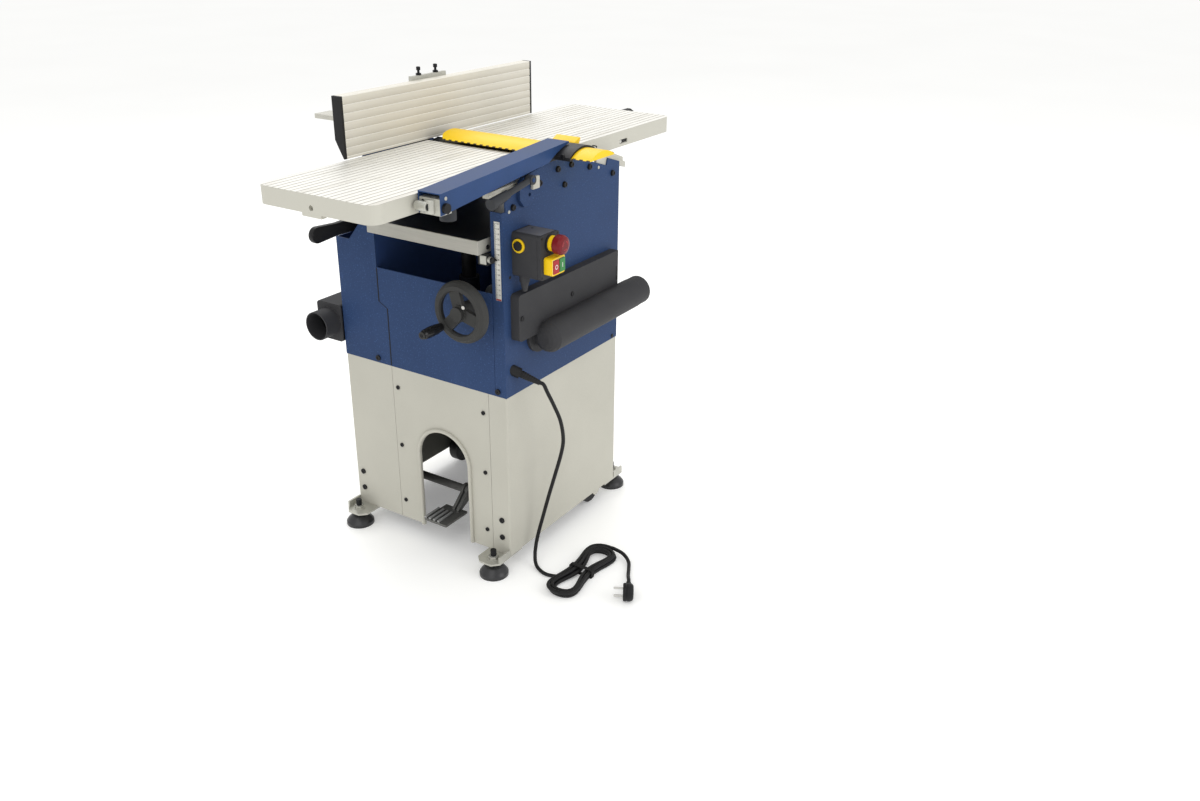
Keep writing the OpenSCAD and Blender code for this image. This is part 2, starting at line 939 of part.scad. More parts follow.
module outfeed_table() {
  end = -table_l / 2;
  color("#DCDAD2")
    difference() {
      union() {
        translate([-lip_x, table_offset, table_low])
          mirror([1, 0, 0])
            table_casting(table_l / 2 - lip_x);
        block([end, end_hole_y - end_boss_w / 2, table_low - end_boss_h],
          [end + end_boss_l, end_hole_y + end_boss_w / 2, table_low + table_skin]);
        along_y(ear_y, table_front + table_wall / 2 - ear_y)
          polygon([[-outfeed_ear_x, table_low], [-outfeed_ear_x, table_low + outfeed_ear_h],
            [-outfeed_ear_x - outfeed_ear_l, table_low + outfeed_ear_h - outfeed_ear_fall],
            [-outfeed_ear_x - outfeed_ear_l, table_low]]);
      }
      rod_x(end - over, end_hole_y, end_hole_z, end_hole, end_boss_l + 2 * over);
    }
}

module infeed_table() {
  end = table_l / 2;
  color("#DCDAD2")
    difference() {
      union() {
        translate([lip_x, table_offset, table_low])
          table_casting(table_l / 2 - lip_x);
        along_y(ear_y, table_front + table_wall / 2 - ear_y)
          slope(way_x, way_top, way_end, ear_t);
        along_y(rear_way_y, table_back - slip - rear_way_y)
          polygon([[rear_way_x, table_low + rib_t], [rear_way_end, table_low + rib_t],
            [rear_way_end, rear_way_z - (rear_way_end - rear_way_x) * incline_rise],
            [rear_way_x, rear_way_z]]);
        block([end - knob_in, knob_y - end_boss_w / 2, table_low],
          [end - table_wall / 2, knob_y + end_boss_w / 2, table_height - table_skin / 2]);
      }
      rod_x(end - knob_in + table_wall, knob_y, knob_z, knob_shaft + run, knob_in + over);
      block([slot_x, table_front - over, table_low + slot_h - slot_d],
        [slot_x + slot_l, table_front + slot_d, table_low + 2 * slot_h - slot_d]);
    }
}

module depth_knob() {
  end = table_l / 2;
  color("#2B2B2C") {
    rod_x(end - knob_in + table_wall + over, knob_y, knob_z, knob_shaft, knob_in + knob_gap);
    difference() {
      rod_x(end + knob_gap, knob_y, knob_z, knob_r, knob_l);
      for (i = [0 : 11])
        translate([end + knob_gap - over, knob_y, knob_z])
          rotate([i * 30, 0, 0])
            rod_x(0, 0, knob_r + over, socket_r, knob_l + 2 * over);
    }
  }
}

module control_box() {
  face = -half_w - box_d;
  mid = [box_x + box_l / 2, box_z + box_h / 2];
  color("#474747") {
    difference() {
      along_y(face, box_d)
        translate(mid)
          rounded_rect(box_l, box_h, box_r);
      along_y(face + lid_d, box_d)
        translate(mid)
          rounded_rect(box_l - 2 * box_wall, box_h - 2 * box_wall, box_r - box_wall / 2);
      along_y(face + lid_d, groove)
        difference() {
          translate(mid)
            square([box_l + over, box_h + over], center = true);
          translate(mid)
            rounded_rect(box_l - 2 * groove, box_h - 2 * groove, box_r);
        }
      rod_x(box_x - over, reset_y, reset_z, reset_r - slip, box_wall + 2 * over);
    }
    translate([box_x + box_l * 0.18, -half_w - box_d * 0.31, box_z]) {
      rod_z(0, 0, -box_gland_l, box_gland_r, box_gland_l + box_wall / 2);
      translate([0, 0, -box_gland_l - box_gland_taper])
        cylinder(r1 = box_gland_tip, r2 = box_gland_r * 0.9, h = box_gland_taper + over);
    }
  }
}

module switch_surrounds() {
  face = -half_w - box_d;
  color("#F5D21F") {
    difference() {
      rod_y(stop_x, face - collar_l, stop_z, collar_r, collar_l);
      rod_y(stop_x, face - collar_l - over, stop_z, stem_r + slip, collar_l);
    }
    difference() {
      along_y(face - frame_d, frame_d)
        translate([stop_x, switch_z])
          rounded_rect(frame_w, frame_h, box_r);
      for (side = [-1, 1])
        translate([stop_x + side * (key_w + key_gap) / 2, face - frame_d - over, switch_z])
          translate([-key_w / 2 - slip, 0, -key_h / 2 - slip])
            cube([key_w + 2 * slip, key_deep + over, key_h + 2 * slip]);
    }
    difference() {
      rod_x(box_x - ring_l, reset_y, reset_z, ring_r, ring_l);
      rod_x(box_x - ring_l - over, reset_y, reset_z, reset_r + slip, ring_l + 2 * over);
    }
  }
}

// The mushroom head's skirt reaches over the collar with room for the press
module estop_button() {
  face = -half_w - box_d;
  pocket = collar_l + press + over - head_gap;
  skirt = collar_r + seam;
  color("#8E1F27") {
    rod_y(stop_x, face - head_gap - pocket - over, stop_z, stem_r,
      head_gap + pocket + over - stem_in - press);
    translate([stop_x, face - head_gap, stop_z])
      rotate([90, 0, 0])
        rotate_extrude()
          polygon([[0, pocket], [skirt, pocket], [skirt, 0], [head_r * 0.92, 0], [head_r, head_l * 0.15],
            [head_r, head_l * 0.68], [head_r * 0.87, head_l * 0.92], [head_r * 0.6, head_l], [0, head_l]]);
  }
}

// A rectangular key standing out of its pocket
module key(side) {
  face = -half_w - box_d - frame_d;
  translate([stop_x + side * (key_w + key_gap) / 2 - key_w / 2, face - key_out, switch_z - key_h / 2])
    cube([key_w, key_out + key_deep - key_travel - slip, key_h]);
}

module start_button() color("#3E8F4A") key(1);

module stop_button() color("#B5202D") key(-1);

module reset_button() {
  color("#2B2B2C")
    rod_x(box_x - ring_l - reset_out, reset_y, reset_z, reset_r, reset_out + ring_l - reset_travel - slip);
}

// The cover's outline, rounded at its elbow end and cut off square at its tube end
module cover_outline(inset) {
  w = cover_l - 2 * inset;
  h = cover_h - 2 * inset;
  translate([cover_x + inset, cover_z + inset])
    intersection() {
      translate([w, h / 2])
        rounded_rect(2 * w, h, cover_r - inset);
      square([w, h]);
    }
}

module duct_cover_operator() {
  hub = elbow_x - elbow_r;
  step = half_l + tube_step_in - hub;
  color("#4A4A4B")
    difference() {
      union() {
        difference() {
          along_y(-half_w - cover_d, cover_d)
            cover_outline(0);
          along_y(-half_w - cover_d + cover_wall, cover_d)
            cover_outline(cover_wall);
        }
        rod_y(hub, -half_w - flange_t, tube_z, flange_r, flange_t);
        rod_y(hub, tube_y, tube_z, tube_bore, -half_w - tube_y);
        translate([hub, tube_y, tube_z])
          rotate([0, 90, 0])
            rotate_extrude()
              polygon(concat([for (s = nose_shares) [s[0] * nose_r, -s[1] * nose_r]],
                [[nose_r, step], [tube_r, step], [tube_r, tube_end - hub], [0, tube_end - hub]]));
      }
      rod_y(hub, tube_y, tube_z, tube_bore - tube_wall, -half_w - tube_y + over);
      rod_x(hub - tube_bore * 0.4, tube_y, tube_z, tube_bore, tube_end - hub + tube_bore * 0.4 + over);
    }
}

module duct_cover_rear() {
  out = half_w + rear_duct_d;
  mid_y = half_w + rear_duct_d / 2;
  color("#4A4A4B")
    difference() {
      union() {
        along_x(-rear_duct_x, rear_duct_l)
          translate([mid_y, rear_tube_z])
            rounded_rect(rear_duct_d, rear_duct_h, cover_r);
        rod_x(-rear_duct_x - spigot_l, mid_y, rear_tube_z, tube_r, spigot_l + cover_wall);
      }
      block([-rear_duct_x + cover_wall, half_w - over, rear_tube_z - rear_duct_h / 2 + cover_wall],
        [rear_duct_l - rear_duct_x - cover_wall, out - cover_wall,
          rear_tube_z + rear_duct_h / 2 - cover_wall]);
      rod_x(-rear_duct_x - spigot_l - over, mid_y, rear_tube_z, tube_bore, spigot_l + 2 * cover_wall + over);
    }
}

module clamp_bracket() {
  y = -half_w - clamp_side;
  color("#33486E") {
    along_y(y, clamp_side)
      difference() {
        polygon([[clamp_x + clamp_back, clamp_z - clamp_hub], [clamp_x + clamp_hub, clamp_z + clamp_hub / 2],
          [clamp_x - clamp_hub, clamp_z + clamp_hub / 2], [clamp_x - clamp_len, clamp_z - clamp_hub],
          [clamp_x - clamp_len, clamp_z - clamp_low * 0.7], [clamp_x - clamp_hub, clamp_z - clamp_low],
          [clamp_x + clamp_hub, clamp_z - clamp_low], [clamp_x + clamp_back, clamp_z - clamp_low * 0.7]]);
        translate([clamp_x + clamp_hub, clamp_z - clamp_low * 0.6])
          circle(clamp_pin);
      }
    rod_y(clamp_x, clamp_y - clamp_w / 2 - over, clamp_z, clamp_pin,
      -half_w - clamp_y + clamp_w / 2 + over - clamp_side / 2);
  }
}

module clamp_lever() {
  color("#3B3B3C")
    difference() {
      union() {
        rod_y(clamp_x, clamp_y - clamp_w / 2, clamp_z, clamp_hub, clamp_w);
        translate([clamp_x, clamp_y, clamp_z])
          rotate([0, -90 - clamp_tilt, 0]) {
            cylinder(r = clamp_neck, h = clamp_neck_l + over);
            translate([0, 0, clamp_neck_l])
              cylinder(r1 = clamp_grip * 0.75, r2 = clamp_grip, h = clamp_grip_l);
          }
      }
      rod_y(clamp_x, clamp_y - clamp_w, clamp_z, clamp_pin + run, 2 * clamp_w);
    }
}

module feed_lever() {
  color("#2B2B2C") {
    rod_y(feed_x, inner_y, feed_z, feed_shaft, half_w - plate_t - slip - inner_y);
    along_y(feed_y, feed_w) {
      translate([feed_x, feed_z])
        circle(feed_h / 2);
      translate([feed_x - feed_l, feed_z])
        circle(feed_h / 2);
      translate([feed_x - feed_l, feed_z - feed_h / 2])
        square([feed_l, feed_h]);
    }
  }
}

// The fence's cross section in Y and Z, drawn in by a wall
module fence_section(wall) {
  back = fence_y + fence_t - wall;
  top = fence_z + fence_h - wall;
  polygon([[fence_y + wall, fence_z + wall], [fence_y + fence_wall + wall / 2, fence_z + wall],
    [fence_y + fence_t * 0.64 - wall / 2, fence_z + fence_h * 0.17], [back, fence_z + fence_h * 0.3],
    [back, top], [fence_y + wall, top]]);
}

module fence() {
  color("#D2CFC5")
    along_x(fence_x, fence_l)
      difference() {
        fence_section(0);
        fence_section(fence_wall);
        for (i = [1 : floor((fence_h - fence_band) / fence_band)])
          translate([fence_y, fence_z + i * fence_band + fence_band_up])
            square([2 * fence_groove, groove_w], center = true);
      }
}

module fence_end_caps() {
  color("#2B2B2C")
    for (x = [fence_x - cap_t, fence_x + fence_l])
      along_x(x, cap_t)
        fence_section(0);
}

// The two hinge ears and the upright plate behind the fence
module fence_bracket() {
  top = fence_z + fence_h + bracket_rise;
  near = bar_x - ear_gap - ear_w;
  far = bar_x + bar_w + ear_gap;
  color("#B9B8AE")
    difference() {
      union() {
        for (x = [near, far])
          along_x(x, ear_w) {
            translate([hinge_y, hinge_z])
              circle(hinge_r);
            translate([hinge_y - hinge_r, hinge_z])
              square([2 * hinge_r, ear_h]);
            polygon([[back_y, hinge_z + ear_h], [hinge_y, hinge_z + ear_h / 2], [hinge_y + hinge_r, hinge_z],
              [back_y + bracket_back, hinge_z + ear_h], [back_y + bracket_back, top], [back_y, top]]);
          }
        block([near - bracket_side, back_y, top - bracket_deep],
          [far + ear_w + bracket_side, back_y + bracket_back, top]);
      }
      rod_x(near - over, hinge_y, hinge_z, hinge_pin + run, far - near + ear_w + 2 * over);
      along_x(near - bracket_side - over, far - near + ear_w + 2 * bracket_side + 2 * over)
        fence_section(-run);
    }
}

module fence_carriage() {
  reach = ear_gap + ear_w;
  color("#C9C7BE") {
    rod_x(bar_x - reach, hinge_y, hinge_z, hinge_pin, bar_w + 2 * reach);
    rod_x(bar_x, hinge_y, hinge_z, hinge_r, bar_w);
    block([bar_x, hinge_y, hinge_z - bar_t / 2], [bar_x + bar_w, bar_end, hinge_z + bar_t / 2]);
  }
}

module fence_rail() {
  low = hinge_z - bar_t / 2 - way_gap;
  color("#33486E")
    difference() {
      block([bar_x - rail_side, half_w, low - rail_h],
        [bar_x + bar_w + rail_side, half_w + rail_l, hinge_z + bar_t / 2 + rail_cap]);
      block([bar_x - way_gap, half_w - over, low],
        [bar_x + bar_w + way_gap, half_w + rail_l + over, hinge_z + bar_t / 2 + way_gap]);
    }
}

// The crowned outline of the strip in X and Z
module crown(r, side) {
  intersection() {
    translate([0, strip_axis])
      circle(r);
    translate([-side, strip_z])
      square([2 * side, strip_rise + 2 * holder_t]);
  }
}

module bridge_guard() {
  inner = strip_x - strip_wall;
  color("#F5D21F")
    intersection() {
      union() {
        along_y(strip_end, strip_l)
          difference() {
            crown(strip_r, strip_x);
            crown(strip_r - strip_wall, inner);
          }
        along_y(strip_end, strip_cap)
          crown(strip_r, strip_x);
      }
      translate([0, 0, strip_z - over])
        linear_extrude(strip_rise + 2 * over) {
          translate([-strip_x, strip_end])
            square([strip_w, strip_l - tip_r]);
          translate([-strip_x + tip_r, strip_end])
            square([strip_w - 2 * tip_r, strip_l]);
          for (side = [-1, 1])
            translate([side * (strip_x - tip_r), strip_end + strip_l - tip_r])
              circle(tip_r);
        }
    }
}

module guard_holder() {
  side = strip_x + slip;
  edge = side + holder_t;
  low = strip_z - slip - holder_t;
  color("#2B2B2C") {
    along_y(holder_y, holder_in - holder_y)
      difference() {
        union() {
          crown(strip_r + slip + holder_t, edge);
          translate([-edge, low])
            square([2 * edge, strip_z - low]);
        }
        crown(strip_r + slip, side);
        translate([-side, strip_z - slip])
          square([2 * side, slip + over]);
        translate([-edge + holder_hook + holder_t, low - over])
          square([2 * (edge - holder_hook - holder_t), strip_z - low + over]);
      }
    block([lug_x, arm_y + arm_t, lug_z - lug_h / 2],
      [-side - holder_t / 2, arm_y + arm_w - arm_t, lug_z + lug_h / 2]);
  }
}

// The arm's side outline in X and Z
module arm_outline() {
  polygon([[arm_near, arm_near_top], [arm_far, arm_far_top], [arm_far, arm_far_top - arm_t - over],
    [arm_mid, arm_mid_z], [arm_cut, arm_cut_z], [lug_x, lug_z - lug_h / 2], [arm_near, arm_near_low]]);
}

module guard_arm() {
  rise = (arm_far_top - arm_near_top) / (arm_far - arm_near);
  color("#35507F")
    difference() {
      along_y(arm_y, arm_w)
        arm_outline();
      along_y(arm_y + arm_t, arm_w - 2 * arm_t)
        polygon([[arm_near - over, arm_near_top - arm_t - over * rise],
          [arm_far + over, arm_far_top - arm_t + over * rise], [arm_far + over, strip_z - lug_h],
          [arm_near - over, arm_near_low - lug_h]]);
      rod_y(pivot_x, arm_y - over, pivot_z, pivot_r + slip, arm_w + 2 * over);
    }
}

module guard_pivot_block() {
  color("#A9A8A2")
    difference() {
      block([arm_near + over, arm_y + arm_t, pivot_low], [pivot_end, arm_y + arm_w - arm_t, pivot_top]);
      rod_y(pivot_x, arm_y, pivot_z, pivot_r + run, arm_w);
      rod_z(pivot_x, arm_y + arm_w / 2, pivot_z + pivot_r + table_skin / 2, clamp_pin, arm_w);
    }
  color("#A9A8A2")
    difference() {
      block([pivot_end, arm_y + arm_t, pivot_z],
        [height_knob_x + height_knob_r, arm_y + arm_w - arm_t, pivot_top]);
      rod_z(height_knob_x, arm_y + arm_w / 2, pivot_low, height_stem + run, arm_w);
    }
}

module guard_knob() {
  y = arm_y + arm_w / 2;
  color("#3F4143") {
    rod_z(height_knob_x, y, pivot_z - slip - height_knob_l, height_knob_r, height_knob_l);
    rod_z(height_knob_x, y, pivot_z - over, height_stem, height_stem_l - table_skin);
  }
}

module motor_housing() {
  color("#55585C") {
    difference() {
      rod_y(motor_x, motor_y, motor_z, motor_r, motor_l);
      rod_y(motor_x, motor_y + motor_l - motor_bore, motor_z, motor_shaft + run, motor_bore + over);
    }
    block([motor_x - motor_seat, motor_y + motor_seat, motor_z + motor_r * 0.7],
      [motor_x + motor_seat, motor_y + motor_l - motor_seat, body_z]);
  }
}

module motor_rotor() {
  color("#8A8D90") {
    rod_y(motor_x, motor_y + motor_l - motor_bore + over, motor_z, motor_shaft,
      belt_y + belt_w - motor_y - motor_l + motor_bore);
    rod_y(motor_x, belt_y, motor_z, motor_pulley, belt_w);
  }
}

// The belt's outline round both pulleys
module belt_loop(grow) {
  hull() {
    translate([motor_x, motor_z])
      circle(motor_pulley + grow, $fn = 32);
    translate([0, cutter_z])
      circle(head_pulley + grow, $fn = 32);
  }
}

module drive_belt() {
  color("#1F1F20")
    along_y(belt_y + over, belt_w - 2 * over)
      difference() {
        belt_loop(belt_t);
        belt_loop(slip);
      }
}

// The cutterhead's cross section with three knives ahead of their chip slots
module cutter_section() {
  difference() {
    circle(body_cut_r);
    for (i = [0 : 2])
      rotate(i * 120)
        translate([knife_t, body_cut_r - knife_w])
          square([knife_t, knife_w + over]);
  }
  for (i = [0 : 2])
    rotate(i * 120)
      translate([0, body_cut_r - knife_w])
        square([knife_t, knife_w + over]);
}

module cutterhead() {
  start = -half_w + plate_t + cutter_boss_l + over;
  color("#A7A9AB") {
    along_y(start, inner_y - over - start)
      translate([0, cutter_z])
        cutter_section();
    rod_y(0, -half_w + plate_t + slip, cutter_z, journal_r, belt_y + belt_w + half_w - plate_t);
    rod_y(0, belt_y, cutter_z, head_pulley, belt_w);
  }
}

// A feed roller between the side plates
module feed_roller(side) {
  start = -half_w + plate_t + roller_boss_l + over;
  color("#8A8D90") {
    rod_y(side * roller_reach, start, roller_z, roller_r, rear_way_y - seam - start);
    rod_y(side * roller_reach, -half_w + plate_t + slip, roller_z, roller_journal,
      inner_out + half_w - plate_t + over);
  }
}

module infeed_roller() feed_roller(-1);

module outfeed_roller() feed_roller(1);

module kickback_fingers() {
  start = table_front + finger_pitch;
  color("#6E7072") {
    rod_y(finger_x, -half_w + plate_t + slip, finger_z, finger_r, inner_out + half_w - plate_t + over);
    for (i = [0 : finger_count - 1])
      along_y(start + i * finger_pitch, finger_t)
        polygon([[finger_x - finger_top, finger_z + finger_top / 2], [finger_x, finger_z + finger_top],
          [finger_x + finger_top, finger_z], [finger_x + finger_back, finger_z - finger_drop],
          [finger_x - finger_r, finger_z - finger_top]]);
  }
}

module lead_screw() {
  color("#9A9C9E")
    rod_z(lead_x, wheel_y, thick_z - thick_h - lead_l, lead_r, lead_l);
}

module lift_gear() {
  color("#7B7D80")
    difference() {
      translate([lead_x, wheel_y, wheel_z - gear_out])
        cylinder(r1 = gear_out - slip, r2 = gear_in - slip, h = gear_out - gear_in);
      rod_z(lead_x, wheel_y, wheel_z - gear_out - over, lead_r + run, gear_out);
    }
}

module lift_columns() {
  color("#9A9C9E")
    for (side = [-1, 1])
      rod_z(side * column_x, table_offset, thick_z - thick_h - column_l, column_r, column_l);
}

module wheel_shaft() {
  start = wheel_front + hub_l;
  color("#8A8D90") {
    rod_x(start, wheel_y, wheel_z, shaft_r, lead_x - gear_out - start);
    translate([lead_x - gear_out, wheel_y, wheel_z])
      rotate([0, 90, 0])
        cylinder(r1 = gear_out - slip, r2 = gear_in - slip, h = gear_out - gear_in);
  }
}

module handwheel() {
  color("#2B2B2C") {
    translate([wheel_front, wheel_y, wheel_z])
      rotate([0, 90, 0])
        rotate_extrude()
          polygon([for (p = rim_shares) [p[0] * rim_r, p[1] * rim_l]]);
    rod_x(wheel_front + rim_l * 0.2, wheel_y, wheel_z, hub_r, hub_l - rim_l * 0.2);
    rod_x(wheel_front - hub_out, wheel_y, wheel_z, hub_cap, hub_out + rim_l / 2);
    for (i = [0 : 2])
      translate([wheel_front + rim_l * 0.3, wheel_y, wheel_z])
        rotate([i * 120 + spoke_turn, 0, 0])
          translate([0, -spoke_w / 2, hub_r / 2])
            cube([spoke_t, spoke_w, rim_r * 0.85 - hub_r / 2]);
    translate([wheel_front, wheel_y + crank_y, wheel_z + crank_z]) {
      rod_x(-grip_l - slip - over, 0, 0, crank_stud, grip_l + slip + over + rim_l / 2);
      rod_x(-grip_l - slip - over - crank_cap, 0, 0, crank_head, crank_cap);
      rod_x(-over, 0, 0, crank_head + over, rim_l / 2);
    }
  }
}

module crank_handle() {
  r = crank_head + over;
  start = crank_stud + run;
  color("#242425")
    translate([wheel_front - over - slip, wheel_y + crank_y, wheel_z + crank_z])
      rotate([0, -90, 0])
        rotate_extrude()
          polygon([[start, 0], [r, 0], [r * 1.3, grip_l * 0.3], [r * 1.35, grip_l * 0.6],
            [r * 1.2, grip_l * 0.9], [r, grip_l - slip], [start, grip_l - slip]]);
}

module thicknesser_table() {
  end = half_l + thick_out;
  low = thick_z - thick_h;
  color("#B9B8AE") {
    difference() {
      block([-end, thick_front, low], [end, table_back, thick_z]);
      block([-end + thick_wall, thick_front + thick_wall, low - over],
        [end - thick_wall, table_back - thick_wall, thick_z - thick_skin]);
    }
    for (side = [-1, 1])
      rod_z(side * column_x, table_offset, low, pad_seat, thick_h - thick_skin / 2);
    rod_z(lead_x, wheel_y, low, post_r + thick_wall / 2, thick_h - thick_skin / 2);
  }
}

module depth_pointer() {
  low = thick_z - thick_h;
  color("#2B2B2C")
    block([-half_l - pad_raise - seam - pointer_out, thick_front - pointer_w / 2, low - pointer_h],
      [-half_l - pad_raise - seam, thick_front + pointer_w / 2, low]);
}

module foot_pedal() {
  rear = pedal_front + pedal_l;
  color("#3F4143") {
    rod_y(pedal_x, -half_w + sheet + slip, pedal_z, pedal_shaft, stand_w - 2 * sheet - 2 * slip);
    block([pedal_front, pedal_y, pedal_low], [rear, pedal_y + pedal_w, pedal_low + pedal_t]);
    for (i = [0 : 3])
      translate([pedal_front, pedal_y + pedal_w - pedal_rib - i * pedal_w / 5, pedal_low + pedal_t / 2])
        cube([pedal_rib_l, pedal_rib, pedal_t / 2 + pedal_rib_h]);
    for (y = [pedal_y + pedal_arm_in, pedal_y + pedal_arm_in + 2 * boss_wall])
      along_y(y, boss_wall) {
        translate([pedal_x, pedal_z])
          circle(pedal_hub);
        polygon([[rear - pedal_hub, pedal_low], [pedal_x, pedal_z - pedal_hub],
          [pedal_x, pedal_z + pedal_hub],
          [rear - pedal_hub, pedal_low + pedal_t + pedal_rib_h]]);
      }
  }
}

module transport_wheels() {
  color("#2B2B2C") {
    rod_y(axle_x, -half_w + sheet + slip, axle_z, axle_r, stand_w - 2 * sheet - 2 * slip);
    for (side = [-1, 1])
      rod_y(axle_x, side * (half_w - wheel_in - wheel_w / 2) - wheel_w / 2, axle_z, wheel_r, wheel_w);
  }
}

// Points of a smooth route through chosen points
function unit(v) = v / norm(v);

function mid_point(a, b, c, d, t) = (2 * b + (c - a) * t + (2 * a - 5 * b + 4 * c - d) * t * t
  + (3 * b - a - 3 * c + d) * t * t * t) / 2;

function smooth(p, n) = let (last = len(p) - 1) concat([for (i = [0 : last - 1], k = [0 : n - 1])
  mid_point(p[max(i - 1, 0)], p[i], p[i + 1], p[min(i + 2, last)], k / n)], [p[last]]);

function tangents(p) = [for (i = [0 : len(p) - 1]) unit(p[min(i + 1, len(p) - 1)] - p[max(i - 1, 0)])];

function turned(n, t) = unit(n - (n * t) * t);

// A round tube swept along a list of points
module tube(p, r, sides) {
  t = tangents(p);
  last = len(p) - 1;
  n = [for (i = 0, v = turned([0.31, 0.87, 0.38], t[0]); i <= last; i = i + 1,
    v = turned(v, t[min(i, last)])) v];
  ring = [for (i = [0 : last], j = [0 : sides - 1])
    p[i] + r * (cos(360 * j / sides) * n[i] + sin(360 * j / sides) * cross(t[i], n[i]))];
  sides_a = [for (i = [0 : last - 1], j = [0 : sides - 1])
    [i * sides + j, (i + 1) * sides + (j + 1) % sides, i * sides + (j + 1) % sides]];
  sides_b = [for (i = [0 : last - 1], j = [0 : sides - 1])
    [i * sides + j, (i + 1) * sides + j, (i + 1) * sides + (j + 1) % sides]];
  first_cap = [for (j = [1 : sides - 2]) [0, j, j + 1]];
  last_cap = [for (j = [1 : sides - 2]) [last * sides, last * sides + j + 1, last * sides + j]];
  polyhedron(ring, concat(sides_a, sides_b, first_cap, last_cap));
}

relief_dir = [sin(relief_tilt) * cos(relief_turn), sin(relief_tilt) * sin(relief_turn), cos(relief_tilt)];
relief_end = relief_at + (gland_l + relief_l) * relief_dir;

// The hank as one spiral of loops drawn in at the waist, in two layers
function lane(u) = abs(hank_half - u);

function climb(u) = let (s = min(max((u - hank_half) * 2 + 0.5, 0), 1)) s * s * (3 - 2 * s);

function hank_point(u) = let (a = 90 - 360 * u, l = lane(u) * hank_step)
  hank_at + [(hank_len + l) * cos(a), sin(a) * (hank_waist + l + hank_lobe * cos(a) * cos(a)),
    hank_base + climb(u) * hank_layer];

hank_count = hank_loops * hank_rings;
hank_body = [for (i = [0 : hank_count]) hank_point(i / hank_rings)];
hank_first = hank_body[0] - [hank_d, 0, 0];
hank_last = hank_body[hank_count] - [0, hank_d, 0];
hank_path = concat([hank_first], hank_body, [hank_last]);

plug_dir = [cos(plug_turn), sin(plug_turn), 0];
plug_end = [plug_at[0], plug_at[1], plug_neck_z] + (plug_r + plug_neck) * plug_dir;
drop_path = concat([relief_end], smooth(concat([relief_end + cord_d * relief_dir], drop_route,
  [hank_first - [cord_d, 0, 0]]), 3), [hank_first]);
plug_path = concat([hank_last], smooth(concat([hank_last - [0, cord_d, 0]], plug_route,
  [plug_end + cord_d * plug_dir]), 3), [plug_end]);

module mains_cord() {
  color("#1F1F20") {
    tube(drop_path, cord_r, cord_sides);
    tube(plug_path, cord_r, cord_sides);
  }
}

module cord_hank() color("#1F1F20") tube(hank_path, hank_d / 2, hank_sides);

module cord_relief() {
  color("#2B2B2C") {
    difference() {
      translate(relief_at)
        rotate([0, relief_tilt, relief_turn])
          translate([0, 0, -gland_l])
            union() {
              cylinder(r = gland_r, h = 2 * gland_l);
              translate([0, 0, 2 * gland_l])
                cylinder(r1 = relief_r, r2 = cord_r + over, h = relief_l);
            }
      translate([relief_at[0] - relief_l, -half_w, relief_at[2] - relief_l])
        cube(2 * relief_l);
    }
  }
}

module mains_plug() {
  color("#242425")
    translate(plug_at)
      rotate([0, 0, plug_turn]) {
        rod_y(0, -plug_l / 2, 0, plug_r, plug_l);
        rod_x(0, 0, plug_neck_z - plug_at[2], plug_neck_r, plug_r);
        translate([plug_r, 0, plug_neck_z - plug_at[2]])
          rotate([0, 90, 0])
            cylinder(r1 = plug_neck_r, r2 = cord_r + over, h = plug_neck);
        for (side = [-1, 1])
          rod_y(0, plug_l / 2 - over, side * pin_pitch / 2, pin_r, pin_l + over);
      }
}

stand_operator_panel();
stand_rear_panel();
stand_arch_panel();
stand_end_panel();
foot_brackets();
foot_pads();
frame_bolts();
operator_side_plate();
inner_side_plate();
drive_cover();
front_panel();
end_panel();
base_pan();
table_slides();
thickness_scale();
control_box();
switch_surrounds();
duct_cover_operator();
duct_cover_rear();
outfeed_table();
clamp_bracket();
guard_pivot_block();
fence_rail();
fence_bracket();
motor_housing();
drive_belt();
cord_relief();
mains_cord();
cord_hank();
mains_plug();
handwheel();
crank_handle();
wheel_shaft();
lift_gear();
lead_screw();
lift_columns();
thicknesser_table();
depth_pointer();
cutterhead();
infeed_roller();
outfeed_roller();
kickback_fingers();
motor_rotor();
infeed_table();
depth_knob();
fence();
fence_end_caps();
fence_carriage();
guard_arm();
guard_holder();
bridge_guard();
clamp_lever();
guard_knob();
feed_lever();
estop_button();
start_button();
stop_button();
reset_button();
foot_pedal();
transport_wheels();
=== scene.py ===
"""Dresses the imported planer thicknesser: finishes for every solid, its mains cord and its small fittings."""
import math

import bmesh
import bpy
from mathutils import Matrix, Vector


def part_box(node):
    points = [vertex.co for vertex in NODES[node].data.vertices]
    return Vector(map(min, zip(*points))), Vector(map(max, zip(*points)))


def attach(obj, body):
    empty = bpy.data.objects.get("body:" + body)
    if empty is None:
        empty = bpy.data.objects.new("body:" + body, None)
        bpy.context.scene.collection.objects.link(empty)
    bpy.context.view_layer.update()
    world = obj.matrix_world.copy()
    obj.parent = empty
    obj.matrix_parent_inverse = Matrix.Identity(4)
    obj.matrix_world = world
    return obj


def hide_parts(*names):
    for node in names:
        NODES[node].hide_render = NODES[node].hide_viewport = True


bl_info = {
    "name": "Planer Thicknesser",
    "version": (1, 0, 0),
    "blender": (4, 5, 0),
    "location": "View3D > Sidebar > Planer",
    "description": "Finishes, cord and fittings of a combination planer thicknesser",
    "category": "Object",
}

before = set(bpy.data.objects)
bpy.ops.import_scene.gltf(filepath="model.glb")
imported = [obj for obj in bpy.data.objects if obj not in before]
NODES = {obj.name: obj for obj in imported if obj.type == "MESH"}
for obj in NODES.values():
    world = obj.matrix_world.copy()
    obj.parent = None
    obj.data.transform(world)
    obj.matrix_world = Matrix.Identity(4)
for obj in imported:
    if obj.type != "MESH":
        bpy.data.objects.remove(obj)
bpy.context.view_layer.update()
MM = 0.001

